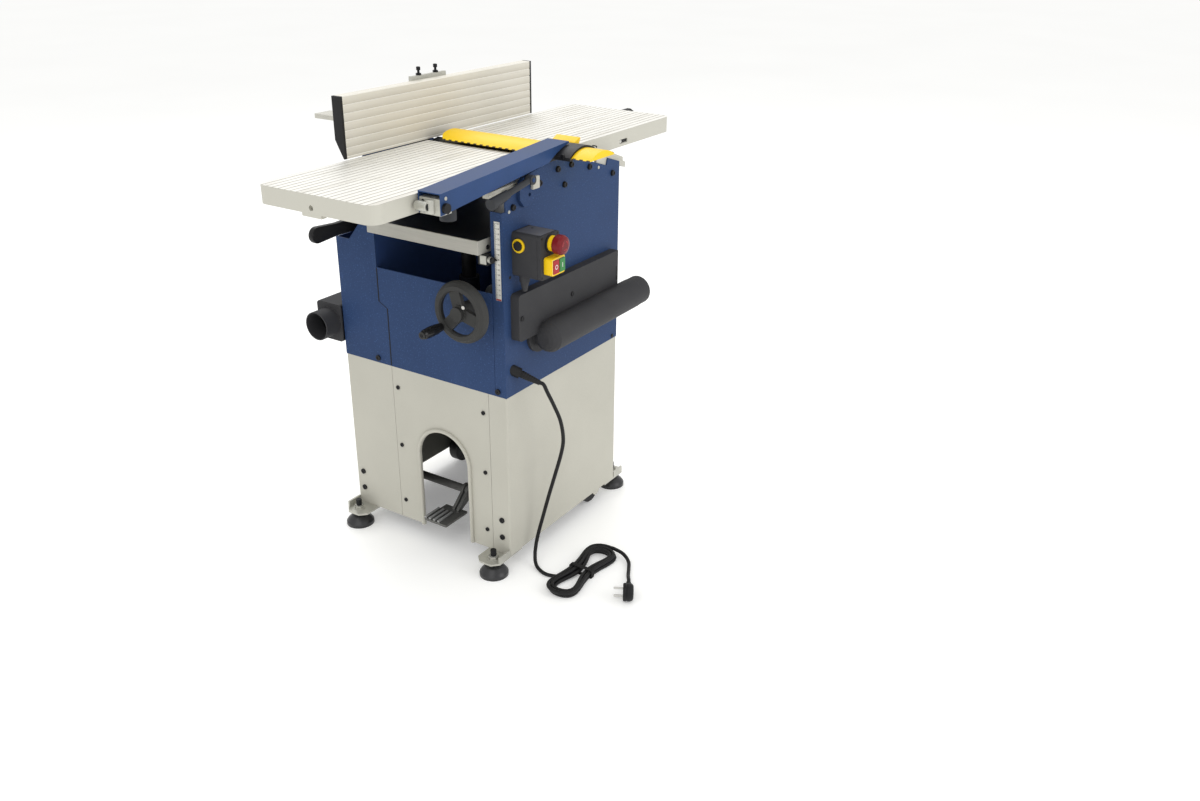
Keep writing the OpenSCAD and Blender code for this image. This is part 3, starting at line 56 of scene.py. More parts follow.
# The ways that the machine's sides face
OPERATOR, REAR, OUTFEED, INFEED, UP = (0, -1, 0), (0, 1, 0), (-1, 0, 0), (1, 0, 0), (0, 0, 1)


def mm(*values):
    """A point or size given in millimetres, in metres."""
    return Vector(values) * MM


def srgb(code):
    """A hex colour as linear RGBA."""
    parts = [int(code[i:i + 2], 16) / 255 for i in (1, 3, 5)]
    return [p / 12.92 if p <= 0.04045 else ((p + 0.055) / 1.055) ** 2.4 for p in parts] + [1.0]


def add(tree, kind, attrs=None, values=None, links=None):
    """Adds one node with its settings, its socket values and its incoming links, and gives its outputs."""
    n = tree.nodes.new(kind)
    for key, value in (attrs or {}).items():
        setattr(n, key, value)
    for key, value in (values or {}).items():
        n.inputs[key].default_value = value
    for key, socket in (links or {}).items():
        tree.links.new(socket, n.inputs[key])
    return n.outputs


def laid_from(tree, tone, colour, value, low, high, most=1.0):
    """Lays a colour over a tone as a value runs from low to high."""
    share = add(tree, "ShaderNodeMapRange", values={"From Min": low, "From Max": high, "To Max": most},
                links={"Value": value})["Result"]
    return add(tree, "ShaderNodeMix", {"data_type": "RGBA"}, {"B": srgb(colour)},
               {"A": tone, "Factor": share})["Result"]


def laid_where(tree, tone, colour, first, second):
    """Lays a colour over a tone where two masks meet."""
    both = add(tree, "ShaderNodeMath", {"operation": "MULTIPLY"}, links={0: first, 1: second})[0]
    return add(tree, "ShaderNodeMix", {"data_type": "RGBA"}, {"B": srgb(colour)},
               {"A": tone, "Factor": both})["Result"]


# The fine and the slow grain's shares of the tone, the noise where it starts and ends, and the sheen's drift
FINE_SHARE, DRIFT_SHARE = 0.45, 0.55
TONE_LOW, TONE_HIGH = 0.25, 0.75
SHEEN_DRIFT = 0.07
# The noise between which a fleck shows, the bend between which a corner's rub and painted highlight show, and
# their share
FLECKS, RUB_AND_HIGHLIGHT = (0.62, 0.7), (0.97, 0.86, 0.7)


def surface(name, colour, shade, rough, grain, depth, blotch=60, metal=0.0, stretch=(1, 1, 1), coat=0.0,
            edge=None, round_mm=0.6, fleck=None, shine=0.25, tint=None):
    """A finish whose colour drifts between two tones, with a grain of a real size in mm and softened edges.

    grain and blotch are in mm, depth is the bump's height in mm, stretch draws the grain out along an axis,
    edge is the tone of corners, part rub and part painted highlight, fleck a second grain's tone, shine the
    specular level, and tint a function that lays a pattern over the tone.
    """
    material = bpy.data.materials.new(name)
    material.use_nodes = True
    tree = material.node_tree
    shader = tree.nodes["Principled BSDF"].inputs
    place = add(tree, "ShaderNodeTexCoord")["Object"]
    at = add(tree, "ShaderNodeMapping", values={"Scale": stretch}, links={"Vector": place})["Vector"]
    drift = add(tree, "ShaderNodeTexNoise", values={"Scale": 1 / (blotch * MM), "Detail": 3.0},
                links={"Vector": place})["Fac"]
    fine = add(tree, "ShaderNodeTexNoise",
               values={"Scale": 1 / (grain * MM), "Detail": 4.0, "Roughness": 0.6},
               links={"Vector": at})["Fac"]
    slow = add(tree, "ShaderNodeMath", {"operation": "MULTIPLY"}, {1: DRIFT_SHARE}, {0: drift})[0]
    both = add(tree, "ShaderNodeMath", {"operation": "MULTIPLY_ADD"}, {1: FINE_SHARE},
               {0: fine, 2: slow})[0]
    ramp = add(tree, "ShaderNodeMapRange", values={"From Min": TONE_LOW, "From Max": TONE_HIGH},
               links={"Value": both})["Result"]
    tone = add(tree, "ShaderNodeMix", {"data_type": "RGBA"}, {"A": srgb(shade), "B": srgb(colour)},
               {"Factor": ramp})["Result"]
    corner = add(tree, "ShaderNodeBevel", {"samples": 4}, {"Radius": round_mm * MM})["Normal"]
    if fleck:
        spot = add(tree, "ShaderNodeTexNoise", values={"Scale": 0.7 / (grain * MM), "Detail": 1.0},
                   links={"Vector": place})["Fac"]
        tone = laid_from(tree, tone, fleck, spot, *FLECKS)
    # Corners take the edge tone: part rub, part painted highlight
    if edge:
        true = add(tree, "ShaderNodeNewGeometry")["Normal"]
        bent = add(tree, "ShaderNodeVectorMath", {"operation": "DOT_PRODUCT"},
                   links={0: corner, 1: true})["Value"]
        tone = laid_from(tree, tone, edge, bent, *RUB_AND_HIGHLIGHT)
    if tint:
        tone = tint(tree, place, tone)
    sheen = add(tree, "ShaderNodeMapRange",
                values={"To Min": max(rough - SHEEN_DRIFT, 0.02), "To Max": min(rough + SHEEN_DRIFT, 1)},
                links={"Value": both})["Result"]
    bump = add(tree, "ShaderNodeBump", values={"Strength": 1.0, "Distance": depth * MM},
               links={"Height": fine, "Normal": corner})["Normal"]
    tree.links.new(tone, shader["Base Color"])
    tree.links.new(sheen, shader["Roughness"])
    tree.links.new(bump, shader["Normal"])
    shader["Metallic"].default_value = metal
    shader["Coat Weight"].default_value = coat
    shader["Specular IOR Level"].default_value = shine
    return material


def dark_inside(colour, half_x, half_y):
    """A tint for sheet housings: faces inside the given half sizes in mm get a painted shade."""
    def tint(tree, place, tone):
        axis = add(tree, "ShaderNodeSeparateXYZ", links={"Vector": place})
        within = []
        for side, half in (("X", half_x), ("Y", half_y)):
            off = add(tree, "ShaderNodeMath", {"operation": "ABSOLUTE"}, links={0: axis[side]})[0]
            within.append(add(tree, "ShaderNodeMath", {"operation": "LESS_THAN"}, {1: half * MM},
                              {0: off})[0])
        # Painted shade on the faces inside the housing
        return laid_where(tree, tone, colour, *within)
    return tint


def facing(tree, axis, sign):
    """How far the true surface faces along an axis, from 0 to 1."""
    true = add(tree, "ShaderNodeNewGeometry")["Normal"]
    side = add(tree, "ShaderNodeSeparateXYZ", links={"Vector": true})[axis]
    return add(tree, "ShaderNodeMapRange", values={"From Min": 0.8 * sign, "From Max": 0.95 * sign},
               links={"Value": side})["Result"]


# Where the patterns drawn on the finishes start and how they repeat, in mm
TABLE_FRONT, GROOVE_PITCH = -177.0, 277.0 / 19
GROOVE_PATCH, REFLECTION_STREAK = 34, 22
FENCE_FOOT, FENCE_BAND = 859.0, 16.0
BED_RIM = -232.0
STRIP_EDGE, TOOTH_PITCH = -41.6, 16.0


def milled_top(tree, place, tone):
    """Cast sides, and a bright milled top with grooves drawn darker in patches, under long streaks of painted
    reflection.
    """
    y = add(tree, "ShaderNodeSeparateXYZ", links={"Vector": place})["Y"]
    turns = add(tree, "ShaderNodeMath", {"operation": "MULTIPLY_ADD"},
                {1: 1 / (GROOVE_PITCH * MM), 2: -TABLE_FRONT / GROOVE_PITCH}, {0: y})[0]
    off = add(tree, "ShaderNodeMath", {"operation": "PINGPONG"}, {1: 0.5}, {0: turns})[0]
    groove = add(tree, "ShaderNodeMapRange", values={"From Min": 0.13, "From Max": 0.05},
                 links={"Value": off})["Result"]
    lane = add(tree, "ShaderNodeMapping", values={"Scale": (0.35, 1, 1)},
               links={"Vector": place})["Vector"]
    patchiness = add(tree, "ShaderNodeTexNoise", values={"Scale": 1 / (GROOVE_PATCH * MM), "Detail": 1.0},
               links={"Vector": lane})["Fac"]
    groove_share = add(tree, "ShaderNodeMapRange",
               values={"From Min": 0.3, "From Max": 0.7, "To Min": 0.25, "To Max": 0.95},
               links={"Value": patchiness})["Result"]
    long = add(tree, "ShaderNodeMapping", values={"Scale": (0.12, 1, 1)},
               links={"Vector": place})["Vector"]
    reflection = add(tree, "ShaderNodeTexNoise", values={"Scale": 1 / (REFLECTION_STREAK * MM), "Detail": 2.0},
               links={"Vector": long})["Fac"]
    # Long darker streaks along the table: a painted reflection of the fence
    streaked = laid_from(tree, tone, "#C9C5BA", reflection, 0.54, 0.72, 0.6)
    # The grooves drawn darker, more in some patches than others
    top = laid_where(tree, streaked, "#8F8A7D", groove, groove_share)
    return add(tree, "ShaderNodeMix", {"data_type": "RGBA"}, {"A": srgb("#C3C1B6")},
               {"B": top, "Factor": facing(tree, "Z", 1)})["Result"]


def drawn_bands(tree, place, tone):
    """The extrusion's shallow bands on its front face: each gets a painted shade at its foot and a painted
    highlight at its groove's lip.
    """
    z = add(tree, "ShaderNodeSeparateXYZ", links={"Vector": place})["Z"]
    turns = add(tree, "ShaderNodeMath", {"operation": "MULTIPLY_ADD"},
                {1: 1 / (FENCE_BAND * MM), 2: -FENCE_FOOT / FENCE_BAND}, {0: z})[0]
    rise = add(tree, "ShaderNodeMath", {"operation": "FRACT"}, links={0: turns})[0]
    front = facing(tree, "Y", -1)
    # A painted shade at each band's foot, then a painted highlight at its groove's lip
    for low, high, most, colour in ((0.7, 0.08, 0.38, "#ADA797"), (0.88, 0.96, 1.0, "#F6F4EC")):
        band = add(tree, "ShaderNodeMapRange", values={"From Min": low, "From Max": high, "To Max": most},
                   links={"Value": rise})["Result"]
        tone = laid_where(tree, tone, colour, band, front)
    return tone


def toothed_edge(tree, place, tone):
    """Painted shade in the notches along the guard strip's outfeed edge."""
    axis = add(tree, "ShaderNodeSeparateXYZ", links={"Vector": place})
    rim = add(tree, "ShaderNodeMath", {"operation": "LESS_THAN"}, {1: STRIP_EDGE * MM},
              {0: axis["X"]})[0]
    turns = add(tree, "ShaderNodeMath", {"operation": "MULTIPLY"}, {1: 1 / (TOOTH_PITCH * MM)},
                {0: axis["Y"]})[0]
    part = add(tree, "ShaderNodeMath", {"operation": "FRACT"}, links={0: turns})[0]
    gap = add(tree, "ShaderNodeMath", {"operation": "LESS_THAN"}, {1: 0.5}, {0: part})[0]
    # Darkened yellow in every other step: painted shade in the notches
    return laid_where(tree, tone, "#4A4120", rim, gap)


def oiled_top(tree, place, tone):
    """The bed's ground top carries a painted dark reflection of the machine's inside, and its cast sides are
    bare.
    """
    true = add(tree, "ShaderNodeNewGeometry")["Normal"]
    side = add(tree, "ShaderNodeSeparateXYZ", links={"Vector": true})["Z"]
    x = add(tree, "ShaderNodeSeparateXYZ", links={"Vector": place})["X"]
    up = add(tree, "ShaderNodeMath", {"operation": "GREATER_THAN"}, {1: 0.9}, {0: side})[0]
    back = add(tree, "ShaderNodeMath", {"operation": "GREATER_THAN"}, {1: BED_RIM * MM}, {0: x})[0]
    # Near black on the top beyond the rim: a painted reflection of the dark inside
    return laid_where(tree, tone, "#1C1D20", up, back)


class PlanerColours(bpy.types.PropertyGroup):
    """The colours that a user would change."""
    stand: bpy.props.StringProperty(name="Stand", description="Powder coat of the stand", default="#C3C1B6")
    body: bpy.props.StringProperty(name="Body", description="Textured coat of the body", default="#33486E")
    guard: bpy.props.StringProperty(name="Guard", description="Bridge guard and switch frames",
                                    default="#FBD215")


class PlanerSizes(bpy.types.PropertyGroup):
    """The sizes that a user would change."""
    cord: bpy.props.FloatProperty(name="Cord", description="Diameter of the mains cord", default=0.008,
                                  unit="LENGTH", subtype="DISTANCE")


FINISHES = {}


def make_finishes(colours):
    """Every finish of the machine, by a short name."""
    f = FINISHES
    # Powder coat on folded sheet: matt, with an even fine orange peel, and a painted shade inside the stand
    f["stand"] = surface("Light grey powder coat", colours.stand, "#B4B2A7", 0.55, 1.6, 0.05, 180,
                         edge="#D2D0C6", shine=0.12, tint=dark_inside("#5E5E58", 206.5, 215.5))
    # Wrinkle powder coat on steel plate: dark blue, coarse enough to sparkle, and a painted shade inside the
    # body
    f["body"] = surface("Blue textured powder coat", colours.body, "#283B5E", 0.5, 2.2, 0.12, 160,
                        edge="#456094", fleck="#38507D", shine=0.1, tint=dark_inside("#2E4370", 205.5, 214.5))
    # The guard's arm has the same coat, a little lighter at its folds by rubbing and a painted highlight
    f["arm"] = surface("Blue powder coat on the arm", "#304A7A", "#284066", 0.45, 2.0, 0.08, 90,
                       edge="#5572A6", shine=0.15)
    # Milled aluminium: pale, with the tool's grooves along the table and long streaks of painted reflection,
    # on a bead-blasted casting
    f["table"] = surface("Milled aluminium table", "#F1EFE9", "#E2E0D8", 0.42, 5.0, 0.03, 120, 0.1,
                         (0.06, 1, 1), edge="#F4F3EE", shine=0.3, tint=milled_top)
    # Die casting: satin grey, slightly mottled by its blasting
    f["casting"] = surface("Die-cast aluminium", "#C9C7BD", "#B5B3A9", 0.45, 1.8, 0.05, 70, 0.2,
                           edge="#DEDCD4")
    # Anodised extrusion: even satin, its bands along its length given a painted shade and a painted highlight
    f["fence"] = surface("Anodised aluminium extrusion", "#E0DCD1", "#D3CFC3", 0.42, 3.0, 0.02, 110, 0.2,
                         (0.03, 1, 1), edge="#EAE8E0", tint=drawn_bands)
    # Ground cast iron: a painted dark reflection on its shiny top, bare at its sides
    f["bed"] = surface("Ground cast iron", "#B5B3AA", "#A19F97", 0.32, 3.0, 0.02, 90, 0.1, (1, 0.05, 1),
                       edge="#E4E2DA", round_mm=1.4, tint=oiled_top)
    # Zinc-plated steel: bright grey, slightly mottled
    f["zinc"] = surface("Zinc-plated steel", "#C4C3BA", "#ACABA2", 0.36, 3.0, 0.03, 20, 0.45, edge="#DAD9D2")
    # Turned steel under cutting oil: fine rings, grey
    f["steel"] = surface("Turned steel", "#8E9092", "#6C6E70", 0.32, 2.0, 0.02, 40, 0.7, edge="#B6B7B8")
    # Hardened steel in an oil film: dark, with bright corners from rubbing and a painted highlight
    f["oiled"] = surface("Oiled dark steel", "#3C3D3F", "#2A2B2D", 0.4, 2.0, 0.03, 30, 0.5, edge="#5E5F61")
    # Black oxide on screws and columns: dark and a little shiny
    f["black_steel"] = surface("Black oxide steel", "#1E1E20", "#141416", 0.4, 1.2, 0.03, 14, 0.3,
                               edge="#3A3A3C")
    # Cast pedal: mid-grey, its ribs' edges bright from rubbing and a painted highlight
    f["pedal"] = surface("Grey cast pedal", "#6A6A67", "#575755", 0.5, 2.0, 0.06, 40, 0.2, edge="#A5A5A2",
                         round_mm=1.2)
    # Pan and motor inside the machine: near black, a painted shade for the dark inside
    f["enamel"] = surface("Dark machine enamel", "#1A1C23", "#14161B", 0.5, 2.5, 0.05, 90, edge="#2C2F38",
                          shine=0.1)
    # Spark-eroded ABS: dark grey, matt and grainy
    f["abs"] = surface("Textured dark grey ABS", "#404042", "#343436", 0.6, 1.3, 0.09, 60, edge="#525254",
                       shine=0.14)
    # The box's lid plate: the same ABS in a lighter grey and a finer texture
    f["pale_abs"] = surface("Fine-textured grey ABS", "#63646A", "#54555B", 0.6, 1.1, 0.12, 30,
                            edge="#77787E", shine=0.15)
    # Moulded polyamide: near black with a soft shine
    f["nylon"] = surface("Black glass-filled nylon", "#262627", "#1B1B1C", 0.45, 1.6, 0.04, 40,
                         edge="#3C3C3D", shine=0.2)
    # Handwheel: the same polyamide, gone grey and matt under hands
    f["wheel"] = surface("Worn grey nylon", "#3C3C3B", "#313130", 0.5, 1.6, 0.05, 40, edge="#565655",
                         shine=0.2)
    # Phenolic grips: black and polished
    f["phenolic"] = surface("Polished black phenolic", "#1E1E1F", "#161617", 0.25, 4.0, 0.01, 40, coat=0.15)
    # Grey polyamide of the knob and the clamp lever: matt
    f["knob"] = surface("Dark grey nylon", "#3A3C3F", "#2F3033", 0.5, 1.4, 0.05, 30, edge="#505256",
                        shine=0.2)
    # Yellow thermoplastic: smooth, even colour, and on the strip a painted shade in the notches of its edge
    f["yellow"] = surface("Yellow moulded plastic", colours.guard, "#EDBF0C", 0.4, 3.0, 0.02, 140,
                          edge="#FBE05A")
    f["guard_strip"] = surface("Yellow plastic strip", colours.guard, "#F2C60E", 0.4, 3.0, 0.02, 140,
                               edge="#FBE05A", tint=toothed_edge)
    # Soft rims round the keys: pale, slightly see-through yellow
    f["pale_yellow"] = surface("Pale yellow plastic", "#F7EBA6", "#EDDD8A", 0.45, 3.0, 0.02, 30)
    # Switch plastics: strong colours with a soft gloss, paler at their corners by rubbing and a painted
    # highlight
    f["red"] = surface("Red moulded plastic", "#7C121B", "#640E16", 0.34, 3.0, 0.02, 30, edge="#A8343D")
    f["bright_red"] = surface("Red switch key", "#B3202C", "#991922", 0.36, 3.0, 0.02, 20, edge="#D0606A")
    f["green"] = surface("Green moulded plastic", "#3A8946", "#2E7539", 0.36, 3.0, 0.02, 30, edge="#7DBB86")
    # Moulded feet: dark polyamide with a soft gloss
    f["foot"] = surface("Glossy black nylon foot", "#2C2C2E", "#222224", 0.34, 2.0, 0.02, 40, edge="#4A4A4C",
                        shine=0.5, round_mm=1.5)
    # Rib tops of the pedal, a lighter grey than the pedal
    f["rubbed"] = surface("Rubbed bare casting", "#A4A5A4", "#8B8C8B", 0.42, 2.0, 0.04, 20, 0.2,
                          edge="#C6C6C4")
    # Rubber: matt black with a dusty bloom, and smoother on the cord's sheath
    f["rubber"] = surface("Black rubber", "#232324", "#191919", 0.72, 1.5, 0.05, 30, edge="#383839",
                          shine=0.2)
    f["sheath"] = surface("Rubber cord sheath", "#1D1D1E", "#141415", 0.5, 2.0, 0.03, 30)
    # Printed aluminium strip of the scale: pale satin under matt inks
    f["strip"] = surface("Printed aluminium strip", "#DEDDD6", "#CBCAC3", 0.4, 3.0, 0.01, 50, 0.2)
    f["ink"] = surface("Black printing ink", "#1D1D1E", "#151516", 0.6, 2.0, 0.01, 20)
    f["red_ink"] = surface("Red printing ink", "#9E2A2A", "#862222", 0.6, 2.0, 0.01, 20)
    f["white"] = surface("White printing ink", "#EDEDE8", "#DEDED8", 0.6, 2.0, 0.01, 20)
    # Nickel plating on small screws: bright and smooth
    f["nickel"] = surface("Nickel-plated steel", "#D8D7D2", "#BDBCB7", 0.3, 1.5, 0.01, 8, 0.4,
                          edge="#F0EFEA", shine=0.5)


CAD_FINISH = {
    "stand": ["stand_operator_panel", "stand_rear_panel", "stand_arch_panel", "stand_end_panel"],
    "body": ["operator_side_plate", "inner_side_plate", "drive_cover", "front_panel", "end_panel",
             "clamp_bracket", "fence_rail"],
    "arm": ["guard_arm"],
    "table": ["outfeed_table", "infeed_table"],
    "casting": ["table_slides", "fence_carriage"],
    "fence": ["fence"],
    "bed": ["thicknesser_table"],
    "zinc": ["foot_brackets", "guard_pivot_block", "fence_bracket"],
    "steel": ["lead_screw", "lift_gear", "wheel_shaft", "motor_rotor"],
    "oiled": ["cutterhead", "infeed_roller", "outfeed_roller", "kickback_fingers"],
    "black_steel": ["frame_bolts", "lift_columns"],
    "pedal": ["foot_pedal"],
    "enamel": ["base_pan", "motor_housing"],
    "abs": ["control_box", "duct_cover_operator", "duct_cover_rear"],
    "nylon": ["cord_relief", "mains_plug", "depth_pointer", "depth_knob", "fence_end_caps", "guard_holder",
              "feed_lever", "reset_button", "transport_wheels"],
    "wheel": ["handwheel"],
    "phenolic": ["crank_handle"],
    "knob": ["guard_knob", "clamp_lever"],
    "yellow": ["switch_surrounds"],
    "guard_strip": ["bridge_guard"],
    "red": ["estop_button"],
    "bright_red": ["stop_button"],
    "green": ["start_button"],
    "foot": ["foot_pads"],
    "rubber": ["drive_belt", "mains_cord", "cord_hank"],
    "strip": ["thickness_scale"],
}


def piece(name, bm, finish, body, smooth=True):
    """Turns a bmesh in metres into a finished piece that rides on a body."""
    bmesh.ops.remove_doubles(bm, verts=bm.verts, dist=1e-6)
    bmesh.ops.recalc_face_normals(bm, faces=bm.faces)
    mesh = bpy.data.meshes.new(name)
    bm.to_mesh(mesh)
    bm.free()
    obj = bpy.data.objects.new(name, mesh)
    bpy.context.scene.collection.objects.link(obj)
    mesh.materials.append(FINISHES[finish])
    if smooth:
        mesh.polygons.foreach_set("use_smooth", [True] * len(mesh.polygons))
        mesh.set_sharp_from_angle(angle=math.radians(35))
    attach(obj, body)
    return obj


def built(name, finish, body, *forms, smooth=True):
    """A piece made of forms, each a function of this file with what it is given."""
    bm = bmesh.new()
    for form, *given in forms:
        form(bm, *given)
    return piece(name, bm, finish, body, smooth)


def axes(way):
    """Two directions square to a way, and the way itself."""
    way = Vector(way).normalized()
    side = way.cross(Vector((0, 0, 1)) if abs(way.z) < 0.9 else Vector((0, 1, 0))).normalized()
    return side, way.cross(side), way


def skin(bm, rings, loop=False):
    """Faces between rings of points in mm, with flat ends or the last ring joined to the first."""
    rows = [[bm.verts.new(p * MM) for p in ring] for ring in rings]
    pairs = list(zip(rows, rows[1:])) + ([(rows[-1], rows[0])] if loop else [])
    for a, b in pairs:
        for i in range(len(a)):
            j = (i + 1) % len(a)
            bm.faces.new((a[i], a[j], b[j], b[i]))
    if not loop:
        bm.faces.new(list(reversed(rows[0])))
        bm.faces.new(rows[-1])


def spun(bm, profile, at, way, steps=40, loop=False):
    """A turned form: (radius, along) pairs in mm turned about a way through a point."""
    side, up, way = axes(way)
    turns = [2 * math.pi * i / steps for i in range(steps)]
    skin(bm, [[Vector(at) + way * z + (side * math.cos(a) + up * math.sin(a)) * r for a in turns]
              for r, z in profile], loop)


def bar(bm, outline, place, long, round_mm):
    """A prism with rounded edges: an outline in mm laid by place(u, v, along) from 0 to its length."""
    made = bmesh.new()
    skin(made, [[Vector(place(u, v, t)) for u, v in outline] for t in (0, long)])
    bmesh.ops.recalc_face_normals(made, faces=made.faces)
    bmesh.ops.bevel(made, geom=list(made.edges), offset=round_mm * MM, segments=2, affect="EDGES",
                    profile=0.6, clamp_overlap=True)
    keep = bpy.data.meshes.new("bar")
    made.to_mesh(keep)
    made.free()
    bm.from_mesh(keep)
    bpy.data.meshes.remove(keep)


def slab(bm, low, high, round_mm):
    """A block between two corners in mm with rounded edges."""
    (x0, y0, z0), (x1, y1, z1) = low, high
    bar(bm, [(x0, y0), (x1, y0), (x1, y1), (x0, y1)], lambda u, v, t: (u, v, z0 + t), z1 - z0, round_mm)


def swept(bm, path, radius, steps=12):
    """A round rod along a path in mm."""
    path = [Vector(p) for p in path]
    last = len(path) - 1
    rings = []
    side = None
    for i, p in enumerate(path):
        way = (path[min(i + 1, last)] - path[max(i - 1, 0)]).normalized()
        side = axes(way)[0] if side is None else (side - way * side.dot(way)).normalized()
        up = way.cross(side)
        rings.append([p + (side * math.cos(a) + up * math.sin(a)) * radius
                      for a in (2 * math.pi * k / steps for k in range(steps))])
    skin(bm, rings)


def open_tree(name, inputs):
    """A node tree with named inputs, the modifier's keys for them and the sockets that bring them in."""
    tree = bpy.data.node_groups.new(name, "GeometryNodeTree")
    tree.interface.new_socket("Geometry", in_out="OUTPUT", socket_type="NodeSocketGeometry")
    keys = {}
    for label, kind in inputs.items():
        socket = tree.interface.new_socket(label, in_out="INPUT", socket_type="NodeSocket" + kind)
        keys[label] = socket.identifier
    return tree, keys, add(tree, "NodeGroupInput")


def close_tree(tree, spread, finish):
    """Ends a tree: a shape set on points, made real and given its finish."""
    copies = add(tree, "GeometryNodeInstanceOnPoints", links=spread)["Instances"]
    real = add(tree, "GeometryNodeRealizeInstances", links={"Geometry": copies})["Geometry"]
    done = add(tree, "GeometryNodeSetMaterial", links={"Geometry": real, "Material": finish})
    add(tree, "NodeGroupOutput", links={"Geometry": done["Geometry"]})


def screw_tree():
    """Screw heads on points: each is chamfered, has its drive cut in and turns to the point's facing."""
    tree, keys, given = open_tree("Screws", {
        "Geometry": "Geometry", "Radius": "Float", "Height": "Float", "Drive sides": "Int",
        "Drive radius": "Float", "Drive scale": "Vector", "Finish": "Material"})
    height = given["Height"]
    lower = add(tree, "ShaderNodeMath", {"operation": "MULTIPLY"}, {1: 0.75}, {0: height})[0]
    upper = add(tree, "ShaderNodeMath", {"operation": "MULTIPLY"}, {1: 0.25}, {0: height})[0]
    head = add(tree, "GeometryNodeMeshCylinder", values={"Vertices": 24},
               links={"Radius": given["Radius"], "Depth": lower})
    crown = add(tree, "GeometryNodeExtrudeMesh", {"mode": "FACES"}, {"Individual": False},
                {"Mesh": head["Mesh"], "Selection": head["Top"], "Offset Scale": upper})
    slope = add(tree, "GeometryNodeScaleElements", values={"Scale": 0.84},
                links={"Geometry": crown["Mesh"], "Selection": crown["Top"]})["Geometry"]
    drive = add(tree, "GeometryNodeMeshCylinder",
                links={"Vertices": given["Drive sides"], "Radius": given["Drive radius"], "Depth": height})
    raised = add(tree, "ShaderNodeCombineXYZ", links={"Z": height})["Vector"]
    key = add(tree, "GeometryNodeTransform",
              links={"Geometry": drive["Mesh"], "Translation": raised, "Scale": given["Drive scale"]})
    cut = add(tree, "GeometryNodeMeshBoolean", {"operation": "DIFFERENCE"},
              links={"Mesh 1": slope, "Mesh 2": key["Geometry"]})["Mesh"]
    way = add(tree, "GeometryNodeInputNamedAttribute", {"data_type": "FLOAT_VECTOR"}, {"Name": "facing"})
    turn = add(tree, "FunctionNodeAlignRotationToVector", {"axis": "Z"},
               links={"Vector": way["Attribute"]})["Rotation"]
    close_tree(tree, {"Points": given["Geometry"], "Instance": cut, "Rotation": turn}, given["Finish"])
    return tree, keys


def row_tree():
    """A row of equal blocks at an even pitch, such as the scale's ticks."""
    tree, keys, given = open_tree("Row", {
        "Geometry": "Geometry", "Count": "Int", "Start": "Vector", "Step": "Vector", "Size": "Vector",
        "Finish": "Material"})
    line = add(tree, "GeometryNodeMeshLine",
               links={"Count": given["Count"], "Start Location": given["Start"], "Offset": given["Step"]})
    block = add(tree, "GeometryNodeMeshCube", links={"Size": given["Size"]})
    close_tree(tree, {"Points": line["Mesh"], "Instance": block["Mesh"]}, given["Finish"])
    return tree, keys


TREES = {}


def grown(name, kind, points, settings, finish, body, ways=None):
    """A piece made by a node tree on points in mm, kept as a plain mesh on its body."""
    if kind not in TREES:
        TREES[kind] = {"screws": screw_tree, "row": row_tree}[kind]()
    tree, keys = TREES[kind]
    seed = bpy.data.meshes.new(name + "_points")
    seed.from_pydata([mm(*p) for p in points], [], [])
    if ways:
        seed.attributes.new("facing", "FLOAT_VECTOR", "POINT").data.foreach_set(
            "vector", [c for way in ways for c in way])
    made = bpy.data.objects.new(name + "_points", seed)
    bpy.context.scene.collection.objects.link(made)
    grow = made.modifiers.new("grow", "NODES")
    grow.node_group = tree
    for key, value in {**settings, "Finish": FINISHES[finish]}.items():
        grow[keys[key]] = value
    made.update_tag()
    depth = bpy.context.evaluated_depsgraph_get()
    mesh = bpy.data.meshes.new_from_object(made.evaluated_get(depth), depsgraph=depth)
    made.modifiers.remove(grow)
    bpy.data.objects.remove(made)
    mesh.name = name
    obj = bpy.data.objects.new(name, mesh)
    bpy.context.scene.collection.objects.link(obj)
    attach(obj, body)
    return obj


# The camera: the photo's width and lens in pixels, sensor and place in mm, yaw, pitch and roll in degrees
PHOTO_WIDE, LENS_PIXELS, SENSOR = 1200, 1093.7, 36
CAMERA_AT, CAMERA_TURN = (-1782.8, -1424.5, 1317.7), (32.1, -24.8, 0.7)
# The studio in metres: the floor's half size, its glow, the room's light, and each lamp's place, aim, watts
# and size
FLOOR_HALF, FLOOR_GLOW, ROOM_LIGHT = 40, 0.22, 0.82
LAMPS = {
    "key": ((-2.6, -0.6, 3.0), (0, 0, 0.5), 24, 2.6),
    "side": ((0.6, -3.6, 2.0), (0, 0, 0.6), 27, 2.2),
    "back": ((1.6, 1.6, 3.4), (0.3, 0, 0.8), 50, 2.5),
}
WHITE = (1, 1, 1, 1)


